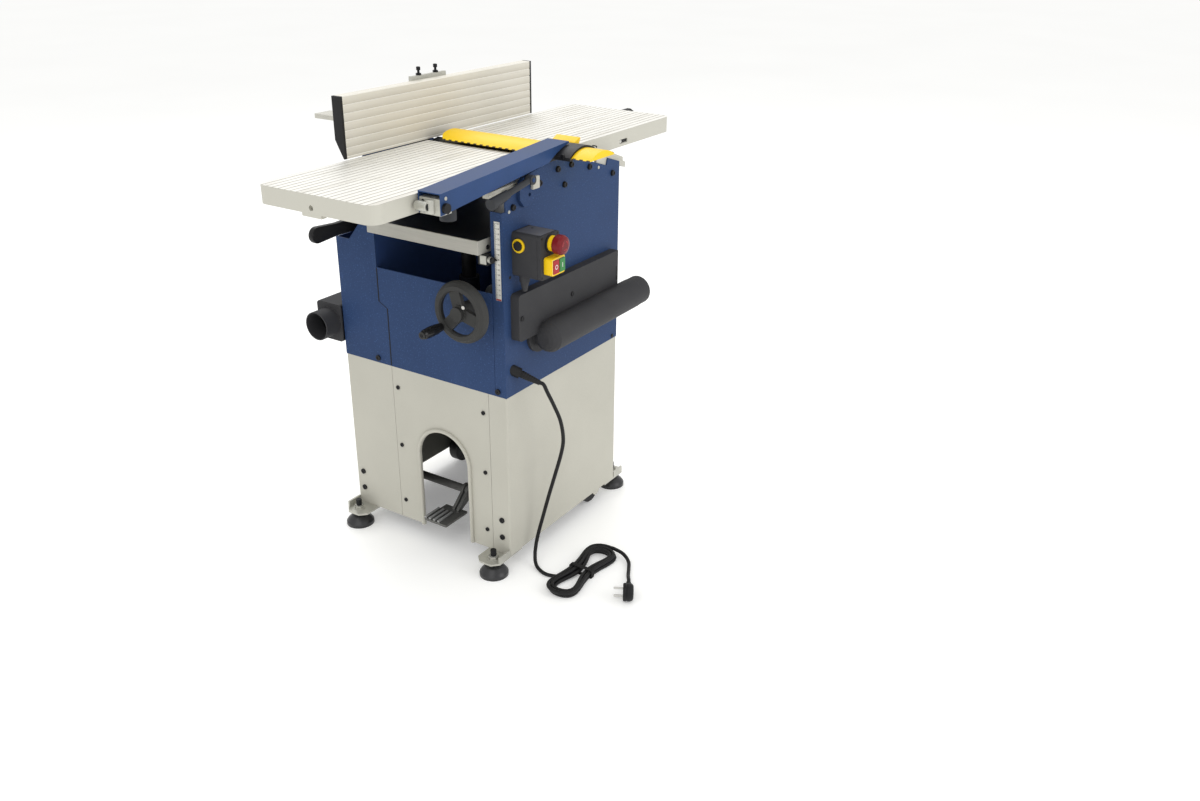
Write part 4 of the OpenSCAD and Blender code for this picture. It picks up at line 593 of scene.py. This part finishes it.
class PLANER_OT_stage(bpy.types.Operator):
    """Makes the camera, the floor and the studio light"""
    bl_idname = "planer.stage"
    bl_label = "Stage"

    def execute(self, context):
        scene = context.scene
        lens = bpy.data.cameras.new("view")
        lens.sensor_fit = "HORIZONTAL"
        lens.sensor_width = SENSOR
        lens.lens = SENSOR * LENS_PIXELS / PHOTO_WIDE
        lens.clip_end = 100
        eye = bpy.data.objects.new("view", lens)
        yaw, pitch, roll = (math.radians(a) for a in CAMERA_TURN)
        look = Vector((math.cos(pitch) * math.cos(yaw), math.cos(pitch) * math.sin(yaw), math.sin(pitch)))
        side = Vector((math.sin(yaw), -math.cos(yaw), 0))
        up = side.cross(look)
        side, up = math.cos(roll) * side + math.sin(roll) * up, math.cos(roll) * up - math.sin(roll) * side
        turn = Matrix((side, up, -look)).transposed().to_4x4()
        eye.matrix_world = Matrix.Translation(mm(*CAMERA_AT)) @ turn
        scene.collection.objects.link(eye)
        scene.camera = eye
        # Seamless paper: even matt white, lit a little from below as in a light tent
        paper = surface("Matt white studio paper", "#F7F7F5", "#F2F2F0", 0.95, 8.0, 0.0, 900, shine=0.0)
        glow = paper.node_tree.nodes["Principled BSDF"].inputs
        glow["Emission Color"].default_value = WHITE
        glow["Emission Strength"].default_value = FLOOR_GLOW
        floor = bpy.data.meshes.new("floor")
        corners = [(x * FLOOR_HALF, y * FLOOR_HALF, 0) for x, y in ((-1, -1), (1, -1), (1, 1), (-1, 1))]
        floor.from_pydata(corners, [], [(0, 1, 2, 3)])
        floor.materials.append(paper)
        ground = bpy.data.objects.new("floor", floor)
        scene.collection.objects.link(ground)
        world = bpy.data.worlds.new("studio")
        world.use_nodes = True
        sky = world.node_tree.nodes["Background"].inputs
        sky["Color"].default_value = WHITE
        sky["Strength"].default_value = ROOM_LIGHT
        scene.world = world
        scene.view_settings.view_transform = "Standard"
        for name, (place, aim, power, size) in LAMPS.items():
            lamp = bpy.data.lights.new(name, "AREA")
            lamp.energy = power
            lamp.size = size
            light = bpy.data.objects.new(name, lamp)
            turn = (Vector(aim) - Vector(place)).to_track_quat("-Z", "Y").to_matrix().to_4x4()
            light.matrix_world = Matrix.Translation(place) @ turn
            scene.collection.objects.link(light)
        return {"FINISHED"}


# The mains cord's route in mm, as the solid has it
DROP = [(-149, -276, 411), (-141, -284, 385), (-128, -292, 345), (-118, -292, 300), (-117, -286, 264),
        (-121, -274, 215), (-126, -260, 160), (-132, -249, 110), (-140, -243, 74), (-147, -240, 44),
        (-156, -243, 20), (-168, -254, 8), (-178, -272, 4.6), (-183, -294, 4.6), (-174, -318, 4.6)]
TO_PLUG = [(-34, -392, 11), (-48, -414, 7), (-70, -428, 5), (-92, -440, 6)]
ROUTE_STEPS, LOOP_STEPS = 6, 48
HANK_AT, HANK_LOOPS, HANK_HALF, HANK_LEN = Vector((-135, -352, 0)), 4.25, 2, 84
HANK_STEP, HANK_WAIST, HANK_LOBE, HANK_LAYER, HANK_BASE = 9.2, 5.6, 46, 8.6, 4.6
# The strain relief: its foot, its tilt and turn in degrees, its length and its ribs
RELIEF_AT, RELIEF_TILT, RELIEF_TURN, RELIEF_LONG = Vector((-182, -217, 458)), 116, -60, 58
RELIEF_RIBS, RIB_FIRST, RIB_PITCH, RIB_WIDE, RIB_TAPER = 7, 18, 5, 8.3, 0.4
# The plug: its foot, its neck's turn, reach and height, its middle's height and its pins' offset from that
PLUG_AT, PLUG_TURN, PLUG_REACH = Vector((-162, -482, 0)), math.radians(30), 51
PLUG_NECK_Z, PLUG_MID_Z, PIN_OFF = 10, 19, 9.5
PLUG_NECK_WAY = Vector((math.cos(PLUG_TURN), math.sin(PLUG_TURN), 0))
PLUG_PIN_WAY = Vector((-math.sin(PLUG_TURN), math.cos(PLUG_TURN), 0))
# The hank's tie: its outline, its inside's shares of that about a middle height, its half width and shift
TIE_EDGE = [(-27.6, 0.1), (27.6, 0.1), (28.6, 3), (28.6, 16), (26, 18.8), (-26, 18.8), (-28.6, 16),
            (-28.6, 3)]
TIE_IN_Y, TIE_IN_Z, TIE_MID, TIE_HALF, TIE_SHIFT = 0.955, 0.94, 9.4, 5, 2.3


def smooth_route(points):
    """Points of a smooth curve through the chosen ones."""
    points = [Vector(p) for p in points]
    last = len(points) - 1
    out = []
    for i in range(last):
        a, b, c, d = points[max(i - 1, 0)], points[i], points[i + 1], points[min(i + 2, last)]
        for k in range(ROUTE_STEPS):
            t = k / ROUTE_STEPS
            out.append((2 * b + (c - a) * t + (2 * a - 5 * b + 4 * c - d) * t * t
                        + (3 * b - a - 3 * c + d) * t ** 3) / 2)
    return out + [points[last]]


def hank_point(u):
    """A point of the hank's centreline, u loops from its start."""
    a = math.radians(90 - 360 * u)
    lane = abs(HANK_HALF - u) * HANK_STEP
    s = min(max((u - HANK_HALF) * 2 + 0.5, 0), 1)
    return HANK_AT + Vector(((HANK_LEN + lane) * math.cos(a),
                             math.sin(a) * (HANK_WAIST + lane + HANK_LOBE * math.cos(a) ** 2),
                             HANK_BASE + s * s * (3 - 2 * s) * HANK_LAYER))


def relief_way():
    """The way that the strain relief points."""
    tilt, turn = math.radians(RELIEF_TILT), math.radians(RELIEF_TURN)
    return Vector((math.sin(tilt) * math.cos(turn), math.sin(tilt) * math.sin(turn), math.cos(tilt)))


def cord_route(thick):
    """The whole cord's centreline in mm, from the strain relief to the plug."""
    way = relief_way()
    first = RELIEF_AT + RELIEF_LONG * way
    loops = [hank_point(i / LOOP_STEPS) for i in range(int(HANK_LOOPS * LOOP_STEPS) + 1)]
    ahead, aside = Vector((thick, 0, 0)), Vector((0, thick, 0))
    into, out_of = loops[0] - ahead, loops[-1] - aside
    end = PLUG_AT + Vector((0, 0, PLUG_NECK_Z)) + PLUG_REACH * PLUG_NECK_WAY
    drop = smooth_route([first, first + thick * way] + DROP + [into - ahead, into])
    tail = smooth_route([out_of, out_of - aside] + TO_PLUG + [end + thick * PLUG_NECK_WAY, end])
    return drop + loops + tail


def tie_band(bm):
    """The flat band round the hank's waist."""
    inner = [(u * TIE_IN_Y, TIE_MID + (v - TIE_MID) * TIE_IN_Z) for u, v in TIE_EDGE]
    rims = ((-TIE_HALF, TIE_EDGE), (TIE_HALF, TIE_EDGE), (TIE_HALF, inner), (-TIE_HALF, inner))
    skin(bm, [[Vector((HANK_AT.x + x, HANK_AT.y + TIE_SHIFT + u, v)) for u, v in edge] for x, edge in rims],
         loop=True)


def relief_rib(bm, k):
    """One ring of the strain relief, narrower than the one before it."""
    low, wide = RIB_FIRST + RIB_PITCH * k, RIB_WIDE - RIB_TAPER * k
    spun(bm, [(wide - 2, low), (wide - 0.4, low), (wide, low + 0.7), (wide, low + 2.1),
              (wide - 0.4, low + 2.8), (wide - 2, low + 2.8)], RELIEF_AT, relief_way(), 28, loop=True)


def plug_neck(bm):
    """The plug's ribbed neck round its end of the cord."""
    neck = [(0.5, 6), (9, 6), (9, 20), (8.2, 22.4)]
    for k in range(6):
        wide, low = 7.8 - 0.5 * k, 23 + 4.4 * k
        neck += [(wide, low), (wide, low + 2.4), (wide - 1, low + 2.9), (wide - 1, low + 3.9)]
    spun(bm, neck + [(4.5, 50.4), (0.5, 50.6)], PLUG_AT + Vector((0, 0, PLUG_NECK_Z)), PLUG_NECK_WAY, 32)


class PLANER_OT_cord(bpy.types.Operator):
    """Lays the mains cord from its gland over the floor, through its tied hank, to its plug"""
    bl_idname = "planer.cord"
    bl_label = "Mains cord"

    def execute(self, context):
        thick = context.scene.planer_sizes.cord
        route = [p * MM for p in cord_route(thick / MM)]
        curve = bpy.data.curves.new("mains_lead", "CURVE")
        curve.dimensions = "3D"
        line = curve.splines.new("POLY")
        line.points.add(len(route) - 1)
        for point, place in zip(line.points, route):
            point.co = (*place, 1)
        curve.bevel_depth = thick / 2
        curve.bevel_resolution = 4
        curve.use_fill_caps = True
        curve.materials.append(FINISHES["sheath"])
        lead = bpy.data.objects.new("mains_lead", curve)
        context.scene.collection.objects.link(lead)
        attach(lead, "frame")
        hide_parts("mains_cord", "cord_hank")
        tie = built("cord_tie", "rubber", "frame", (tie_band,))
        built("relief_ribs", "nylon", "frame", *[(relief_rib, k) for k in range(RELIEF_RIBS)])
        pin = [(0.5, 10.5), (2.6, 10.5), (2.6, 29), (2.1, 30.3), (0.5, 30.6)]
        pins = built("plug_pins", "nickel", "frame", *[
            (spun, pin, PLUG_AT + Vector((0, 0, PLUG_MID_Z + off)), PLUG_PIN_WAY, 20)
            for off in (-PIN_OFF, PIN_OFF)])
        drum = [(0.5, -11), (11, -11), (15.4, -9.8), (18, -7), (18.9, -3.4), (18.9, 1.6), (18, 2.4), (18, 4),
                (18.9, 4.8), (18.9, 8.4), (17.8, 10.4), (15.8, 11), (0.5, 11)]
        body = built("plug_body", "sheath", "frame",
                     (spun, drum, PLUG_AT + Vector((0, 0, PLUG_MID_Z)), PLUG_PIN_WAY, 56), (plug_neck,))
        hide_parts("mains_plug")
        return {"FINISHED"}


# Drives cut into screw heads: sides, share of the head's radius, narrowing
HEX, SLOT = (6, 0.55, 1.0), (4, 0.9, 0.2)
# The infeed table's leaning ear, and the side plate's bolts as shares of its half length and its height
EAR_LEAN, EAR_X, EAR_TOP = math.radians(20), 122, 849
PLATE_HALF, PLATE_LOW, PLATE_TALL = 208, 405, 445
PLATE_BOLTS = [(-0.42, 0.922), (-0.01, 0.878), (-0.12, 0.956), (0.106, 0.958), (0.428, 0.92), (0.86, 0.853),
               (-0.835, 0.857)]
# Screws: name, body, finish, radius and height in mm, drive, way, points in mm
SCREWS = [
    ("box_lid_screws", "frame", "black_steel", 2.6, 0.9, SLOT, OPERATOR,
     [(x, -284, z) for x in (-174.5, -122.5) for z in (736.5, 659.5)]),
    ("cover_screws", "frame", "black_steel", 5.5, 3.2, HEX, OPERATOR, [(-177, -237, 570), (-2, -237, 571)]),
    ("plate_screws", "frame", "zinc", 3.4, 1.8, HEX, OPERATOR, [(-185, -217, 780), (125.3, -217, 805.9)]),
    ("plate_bolts", "frame", "black_steel", 6.2, 8, HEX, OPERATOR,
     [(PLATE_HALF * u, -217, PLATE_LOW + PLATE_TALL * v) for u, v in PLATE_BOLTS]),
    ("low_plate_screw", "frame", "black_steel", 4.6, 2.6, HEX, OPERATOR, [(189.8, -217, 411.2)]),
    ("ear_bolts", "infeed", "black_steel", 5.5, 4.5, HEX, (math.sin(EAR_LEAN), 0, math.cos(EAR_LEAN)),
     [(x, -203, EAR_TOP - (x - EAR_X) * math.tan(EAR_LEAN)) for x in (197, 131)]),
    ("arm_screws", "guard_arm", "zinc", 3.4, 1.8, HEX, OPERATOR, [(-378.7, -230, 848), (-6.9, -230, 872.4)]),
    ("holder_screw", "guard_arm", "black_steel", 5.0, 4.0, HEX, OUTFEED, [(-48.3, -245, 862)]),
    ("lip_bolt", "thicknesser", "black_steel", 4.8, 2.5, HEX, OPERATOR, [(-205.6, -180, 711.5)]),
    ("slot_screw", "infeed", "nickel", 3.6, 2.2, HEX, OPERATOR, [(281, -174, 828.5)]),
    ("wheel_screw", "handwheel", "nickel", 3.6, 1.6, SLOT, OUTFEED, [(-265, -163, 604)]),
    ("crank_screw", "crank_handle", "black_steel", 4.0, 1.2, SLOT, OUTFEED, [(-324.3, -107.3, 553.75)]),
]
# Panel screws: radius and height, the rear covers' inset and rise, and the infeed end panels' insets
PANEL_SCREW = (4.6, 2.4)
REAR_COVERS = (("drive_cover", 16, 230), ("duct_cover_rear", 12, 60))
REAR_EDGE, END_INSET_Y, END_INSET_Z = -214, 24, 40


class PLANER_OT_screws(bpy.types.Operator):
    """Sets the screw heads of every body"""
    bl_idname = "planer.screws"
    bl_label = "Screws"

    def execute(self, context):
        groups = list(SCREWS)
        for node, inset, rise in REAR_COVERS:
            low, high = (Vector(c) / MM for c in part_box(node))
            groups.append((node + "_screws", "frame", "black_steel", *PANEL_SCREW, HEX, REAR,
                           [(x, high.y, z) for x in (max(low.x, REAR_EDGE) + inset, high.x - inset)
                            for z in (low.z + inset, low.z + inset + rise)]))
        for node in ("stand_end_panel", "end_panel"):
            low, high = (Vector(c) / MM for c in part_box(node))
            groups.append((node + "_screws", "frame", "black_steel", *PANEL_SCREW, HEX, INFEED,
                           [(PLATE_HALF, y, z) for y in (low.y + END_INSET_Y, high.y - END_INSET_Y)
                            for z in (low.z + END_INSET_Z, high.z - END_INSET_Z)]))
        for name, body, finish, radius, height, (sides, share, narrow), way, points in groups:
            grown(name, "screws", points,
                  {"Radius": radius * MM, "Height": height * MM, "Drive sides": sides,
                   "Drive radius": radius * share * MM, "Drive scale": Vector((1, narrow, 1))},
                  finish, body, [way] * len(points))
        return {"FINISHED"}


# The scale's face, zero, length, two edges and numbers' middle, and the start of the pointer's axis, in mm
SCALE_X, SCALE_LOW, SCALE_TOP = -208.8, 611.5, 150
SCALE_EDGE, SCALE_FAR, NUMBERS_Y = -199.6, -211.6, -208
POINTER_AT = (-216.2, -191, 691)


def lettering(bm, word, size, at, across, up):
    """Adds a word in mm as a flat raised mesh, its reading way across and its height up."""
    curve = bpy.data.curves.new("word", "FONT")
    curve.body = word
    curve.size = size * MM
    curve.extrude = 0.04 * MM
    curve.align_x = "CENTER"
    curve.align_y = "CENTER"
    made = bpy.data.objects.new("word", curve)
    bpy.context.scene.collection.objects.link(made)
    depth = bpy.context.evaluated_depsgraph_get()
    mesh = bpy.data.meshes.new_from_object(made.evaluated_get(depth))
    bpy.data.objects.remove(made)
    across, up = Vector(across), Vector(up)
    mesh.transform(Matrix.Translation(mm(*at)) @ Matrix((across, up, across.cross(up))).transposed().to_4x4())
    bm.from_mesh(mesh)
    bpy.data.meshes.remove(mesh)


class PLANER_OT_scale(bpy.types.Operator):
    """Prints the thickness scale and fits its pointer's tip"""
    bl_idname = "planer.scale"
    bl_label = "Thickness scale"

    def execute(self, context):
        for name, pitch, long, thick in (("fine_ticks", 1, 2.6, 0.3), ("half_ticks", 5, 3.8, 0.3),
                                         ("long_ticks", 10, 5.0, 0.5)):
            grown(name, "row", [(0, 0, 0)],
                  {"Count": SCALE_TOP // pitch + 1, "Step": mm(0, 0, pitch), "Size": mm(0.12, long, thick),
                   "Start": mm(SCALE_X - 0.04, SCALE_EDGE - long / 2, SCALE_LOW)}, "ink", "frame")
        built("scale_numbers", "ink", "frame", *[
            (lettering, str(mark), 4.4, (SCALE_X - 0.05, NUMBERS_Y, SCALE_LOW + mark), OPERATOR, UP)
            for mark in range(0, SCALE_TOP + 1, 10)], smooth=False)
        built("scale_red_mark", "red_ink", "frame",
              (slab, (SCALE_X - 0.16, SCALE_FAR, 610.3), (SCALE_X + 0.2, SCALE_EDGE, 613.4), 0.06),
              smooth=False)
        built("pointer_sleeve", "zinc", "thicknesser",
              (slab, (-224.4, -189.5, 682.5), (-221.6, -175, 699.5), 1.1),
              (spun, [(0.5, -0.4), (6, -0.4), (6.3, 0.4), (6.3, 5.4), (0.5, 5.4)], POINTER_AT, OPERATOR, 32))
        built("pointer_tip", "nylon", "thicknesser",
              (spun, [(0.5, 5.2), (5.6, 5.2), (5.9, 5.8), (5.9, 9.5), (4.6, 11), (0.5, 11.2)], POINTER_AT,
               OPERATOR, 32),
              (bar, [(-200, 688.5), (-200, 693.5), (-206, 691.5), (-206, 690.5)],
               lambda u, v, t: (-211.4 + t, u, v), 1.6, 0.3))
        return {"FINISHED"}


# The keys and the stop on the control box, in mm
STOP_KEY_X, START_KEY_X, KEY_Z, KEY_RIM_Y, KEY_FACE_Y = -157.3, -137.3, 681.7, -302, -305
STOP_AT, STOP_FACE_Y = (-147.3, -284, 722.9), -317.95
# The arrows on the stop's face: how many, the steps of each and their angle in degrees
ARROWS, ARROW_STEPS, ARROW_STEP, ARROW_LAP = 3, 7, 9, 9.2
# The strip of painted shadow in the seam between the front panel and its corner post, in mm
SEAM_LOW, SEAM_HIGH, SEAM_HALF, SEAM_X = 86.6, 108.6, 1.4, -208.35


def ring_frame(bm, at, half_w, half_h, wide, round_mm):
    """A rectangular rim as deep as wide, standing out of an operator-side face at a point in mm."""
    x, y, z = at
    for low, high in (((-half_w - wide, -half_h - wide), (-half_w, half_h + wide)),
                      ((half_w, -half_h - wide), (half_w + wide, half_h + wide)),
                      ((-half_w, -half_h - wide), (half_w, -half_h)),
                      ((-half_w, half_h), (half_w, half_h + wide))):
        slab(bm, (x + low[0], y - wide, z + low[1]), (x + high[0], y + 0.2, z + high[1]), round_mm)


def turn_arrow(bm, k):
    """One bent arrow of the stop's face, in short steps that widen at its head."""
    for i in range(ARROW_STEPS):
        a = math.radians(360 / ARROWS * k) + math.radians(ARROW_STEP * i)
        b = a + math.radians(ARROW_LAP)
        inner, outer = {5: (6.6, 10.0), 6: (7.4, 9.2)}.get(i, (7.6, 9.0))
        corners = ((inner, a), (outer, a), (outer, b), (inner, b))
        edge = [(r * math.cos(c), r * math.sin(c)) for r, c in corners]
        bar(bm, edge, lambda u, v, t: (STOP_AT[0] + u, STOP_FACE_Y - t, STOP_AT[2] + v), 0.2, 0.03)


class PLANER_OT_controls(bpy.types.Operator):
    """Trims the control box, its keys and its stop, and the panels by it: a dark plug, and dark strips of
    painted shade in a notch and a seam
    """
    bl_idname = "planer.controls"
    bl_label = "Controls"

    def execute(self, context):
        built("box_top_plate", "pale_abs", "frame", (slab, (-172, -278, 740.8), (-125, -222, 741.8), 0.4))
        built("box_top_spot", "nylon", "frame",
              (spun, [(0.4, -0.2), (2.4, -0.2), (2.4, 0.3), (1.6, 0.6), (0.4, 0.7)], (-138, -236, 741.8),
               UP, 20))
        built("key_rims", "pale_yellow", "frame", *[
            (ring_frame, (x, KEY_RIM_Y, KEY_Z), 8.9, 13.4, 0.9, 0.25) for x in (STOP_KEY_X, START_KEY_X)])
        built("stop_mark", "white", "stop",
              (spun, [(3.2, 0), (4.6, 0), (4.6, 0.25), (3.2, 0.25)], (STOP_KEY_X, KEY_FACE_Y, KEY_Z),
               OPERATOR, 28, True))
        built("start_mark", "white", "start", (slab, (-138.1, -305.25, 677.2), (-136.5, -304.9, 686.2), 0.08))
        built("stop_base_ring", "nylon", "frame",
              (spun, [(15.25, -0.2), (18, -0.2), (18, 2.6), (17.2, 3.6), (15.25, 3.6)], STOP_AT, OPERATOR, 40,
               True))
        built("stop_arrows", "bright_red", "estop", *[(turn_arrow, k) for k in range(ARROWS)], smooth=False)
        built("plate_plug", "nylon", "frame",
              (spun, [(0.5, -0.5), (3.4, -0.5), (3.4, 0.4), (2.2, 1.2), (0.5, 1.3)], (-186.5, -217, 652.4),
               OPERATOR, 20))
        # A thin dark sheet standing for the cover's notch: painted shade
        built("cover_notch", "nylon", "frame", (slab, (169.5, -237.5, 554), (176.4, -236.8, 584), 0.25))
        # A dark strip that paints the shadow in the gap between the front panel and its post
        seam = [(SEAM_LOW, 406.5), (SEAM_LOW, 534), (SEAM_HIGH, 546), (SEAM_HIGH, 618)]
        edge = [(y - SEAM_HALF, z) for y, z in seam] + [(y + SEAM_HALF, z) for y, z in reversed(seam)]
        built("panel_seam", "rubber", "frame", (bar, edge, lambda u, v, t: (SEAM_X + t, u, v), 0.5, 0.1),
              smooth=False)
        return {"FINISHED"}


class PLANER_OT_fence(bpy.types.Operator):
    """Fits the fence's two stop screws and a dark sheet of painted shade in the slot of the infeed table's
    side
    """
    bl_idname = "planer.fence"
    bl_label = "Fence fittings"

    def execute(self, context):
        stop = [(0.5, -0.5), (5.8, -0.5), (5.8, 3.4), (5, 4), (2.6, 4.2), (2.6, 9.4), (4.4, 9.8), (4.4, 15.6),
                (3.6, 16.6), (0.5, 16.8)]
        built("fence_stop_screws", "black_steel", "fence",
              *[(spun, stop, (x, 127, 979), UP, 6) for x in (-25, 28)])
        # A thin dark sheet standing for the slot's depth: painted shade
        built("slot_floor", "nylon", "infeed", (slab, (275, -174.6, 824.9), (305, -173.8, 832.1), 0.3))
        return {"FINISHED"}


class PLANER_OT_guard(bpy.types.Operator):
    """Fits the guard: its pivot casting, its yellow end tab and the clamp's lug"""
    bl_idname = "planer.guard"
    bl_label = "Guard fittings"

    def execute(self, context):
        built("pivot_casting", "zinc", "guard_arm",
              (spun, [(1, 822), (8, 822), (9, 823.5), (9, 844.5), (8, 846), (1, 846)], (-391, -207, 0), UP,
               32),
              (spun, [(1, 0), (8, 0), (9, 1.2), (9, 24), (8, 26), (1, 26)], (-398, -207, 834), REAR, 32))
        built("pivot_holes", "nylon", "guard_arm",
              (spun, [(0.5, -0.6), (3.0, -0.6), (3.0, 0.25), (2.4, 0.5), (0.5, 0.5)], (-391, -190, 841.5),
               OUTFEED, 20),
              (spun, [(0.5, 25.6), (6.4, 25.6), (6.4, 26.4), (5.6, 27), (0.5, 27)], (-398, -234, 834), REAR,
               28))
        tab = [(26, 871), (30, 874.5), (46, 881.5), (49.5, 880.5), (48.6, 876.5), (44.6, 869), (44.4, 864)]
        built("guard_end_tab", "yellow", "guard_arm", (bar, tab, lambda u, v, t: (u, -222 + t, v), 55, 0.8))
        built("clamp_lug", "stand", "frame", (slab, (-127, -232, 812), (-105, -225, 836), 2.2))
        return {"FINISHED"}


# The arch's rolled edge, the pedal's ribs and the feet, in mm
ARCH_X, ARCH_Y, ARCH_R, ARCH_SPRING, ARCH_FOOT, ARCH_EDGE_R = -210.6, -47, 69, 218, 39, 4.0
PEDAL_RIBS = [1.5 - 12 * i for i in range(4)]
FEET = [(sx * 236, sy * 192.64) for sx in (-1, 1) for sy in (-1, 1)]
BRACKET_TOP, BRACKET_LOW, STUD_LOW, STUD_TOP, THREAD_STEP = 38, 26, 46.2, 59.4, 0.75


class PLANER_OT_stand(bpy.types.Operator):
    """Trims the stand: the arch's rolled edge, the pedal's rib tops, the nuts and the studs' threads"""
    bl_idname = "planer.stand"
    bl_label = "Stand fittings"

    def execute(self, context):
        arc = [(ARCH_X, ARCH_Y - ARCH_R * math.cos(a), ARCH_SPRING + ARCH_R * math.sin(a))
               for a in (math.radians(d) for d in range(0, 181, 6))]
        feet = [(ARCH_X, ARCH_Y + side * ARCH_R, ARCH_FOOT) for side in (-1, 1)]
        built("arch_edge", "stand", "frame", (swept, [feet[0]] + arc + [feet[1]], ARCH_EDGE_R))
        nuts, studs, ribs = [], [], []
        for x, y in FEET:
            for low in (BRACKET_TOP, BRACKET_LOW):
                nuts.append((spun, [(6.4, low - 0.1), (9.6, low - 0.1), (11, low + 1.2), (11, low + 6.8),
                                    (9.6, low + 8.1), (6.4, low + 8.1)], (x, y, 0), UP, 6, True))
            nuts.append((spun, [(10.2, 38), (13, 38), (13.2, 38.4), (13.2, 39), (13, 39.4), (10.2, 39.4)],
                         (x, y, 0), UP, 36, True))
            thread = [(6.0 if k % 2 else 6.5, STUD_LOW + k * THREAD_STEP) for k in range(18)]
            studs.append((spun, [(5.2, STUD_LOW)] + thread + [(5.2, STUD_TOP)], (x, y, 0), UP, 24, True))
        for y in PEDAL_RIBS:
            crown = [(y - 2.9, 69.6), (y + 2.9, 69.6), (y + 2.9, 72.4), (y + 1.6, 73.4), (y - 1.6, 73.4),
                     (y - 2.9, 72.4)]
            ribs.append((bar, crown, lambda u, v, t: (-226.8 + t, u, v), 47.4, 0.6))
        built("pedal_rib_tops", "rubbed", "pedal", *ribs)
        built("foot_nuts", "zinc", "frame", *nuts)
        built("stud_threads", "black_steel", "frame", *studs)
        return {"FINISHED"}


# The feed lever's grip in mm: two ends, tip radius, middle height, waist's reach, place and thickness
GRIP_TIP, GRIP_ROOT, GRIP_R, GRIP_Z, GRIP_WAIST, GRIP_Y, GRIP_T = -300, -133, 17, 692, 70, 187, 12


class PLANER_OT_lever(bpy.types.Operator):
    """Makes the feed lever's tapered grip"""
    bl_idname = "planer.lever"
    bl_label = "Feed lever"

    def execute(self, context):
        end = [(GRIP_TIP + GRIP_R - GRIP_R * math.cos(a), GRIP_Z + GRIP_R * math.sin(a))
               for a in (math.radians(d) for d in range(90, -91, -15))]
        waist = GRIP_TIP + GRIP_WAIST
        edge = end + [(waist, GRIP_Z - 13), (GRIP_ROOT, GRIP_Z - 15), (GRIP_ROOT, GRIP_Z + 15),
                      (waist, GRIP_Z + 13)]
        lever = built("feed_lever_grip", "nylon", "feed_lever",
                      (bar, edge, lambda u, v, t: (u, GRIP_Y + t, v), GRIP_T, 2.6))
        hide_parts("feed_lever")
        return {"FINISHED"}


class PLANER_OT_finishes(bpy.types.Operator):
    """Gives every solid its finish"""
    bl_idname = "planer.finishes"
    bl_label = "Finishes"

    def execute(self, context):
        for finish, names in CAD_FINISH.items():
            for name in names:
                mesh = NODES[name].data
                mesh.materials.clear()
                mesh.materials.append(FINISHES[finish])
        return {"FINISHED"}


class PLANER_PT_panel(bpy.types.Panel):
    """Lists the steps in the sidebar"""
    bl_label = "Planer"
    bl_space_type = "VIEW_3D"
    bl_region_type = "UI"
    bl_category = "Planer"

    def draw(self, context):
        for prop in PlanerColours.__annotations__:
            self.layout.prop(context.scene.planer_colours, prop)
        for prop in PlanerSizes.__annotations__:
            self.layout.prop(context.scene.planer_sizes, prop)
        for step in STEPS:
            self.layout.operator(step.bl_idname)


STEPS = [PLANER_OT_stage, PLANER_OT_cord, PLANER_OT_screws, PLANER_OT_scale, PLANER_OT_controls,
         PLANER_OT_fence, PLANER_OT_guard, PLANER_OT_stand, PLANER_OT_lever, PLANER_OT_finishes]
CLASSES = [PlanerColours, PlanerSizes, *STEPS, PLANER_PT_panel]


def register():
    for c in CLASSES:
        bpy.utils.register_class(c)
    bpy.types.Scene.planer_colours = bpy.props.PointerProperty(type=PlanerColours)
    bpy.types.Scene.planer_sizes = bpy.props.PointerProperty(type=PlanerSizes)


def unregister():
    del bpy.types.Scene.planer_sizes
    del bpy.types.Scene.planer_colours
    for c in reversed(CLASSES):
        bpy.utils.unregister_class(c)


def main():
    register()
    make_finishes(bpy.context.scene.planer_colours)
    for step in STEPS:
        group, name = step.bl_idname.split(".")
        getattr(getattr(bpy.ops, group), name)()


if __name__ == "__main__":
    main()
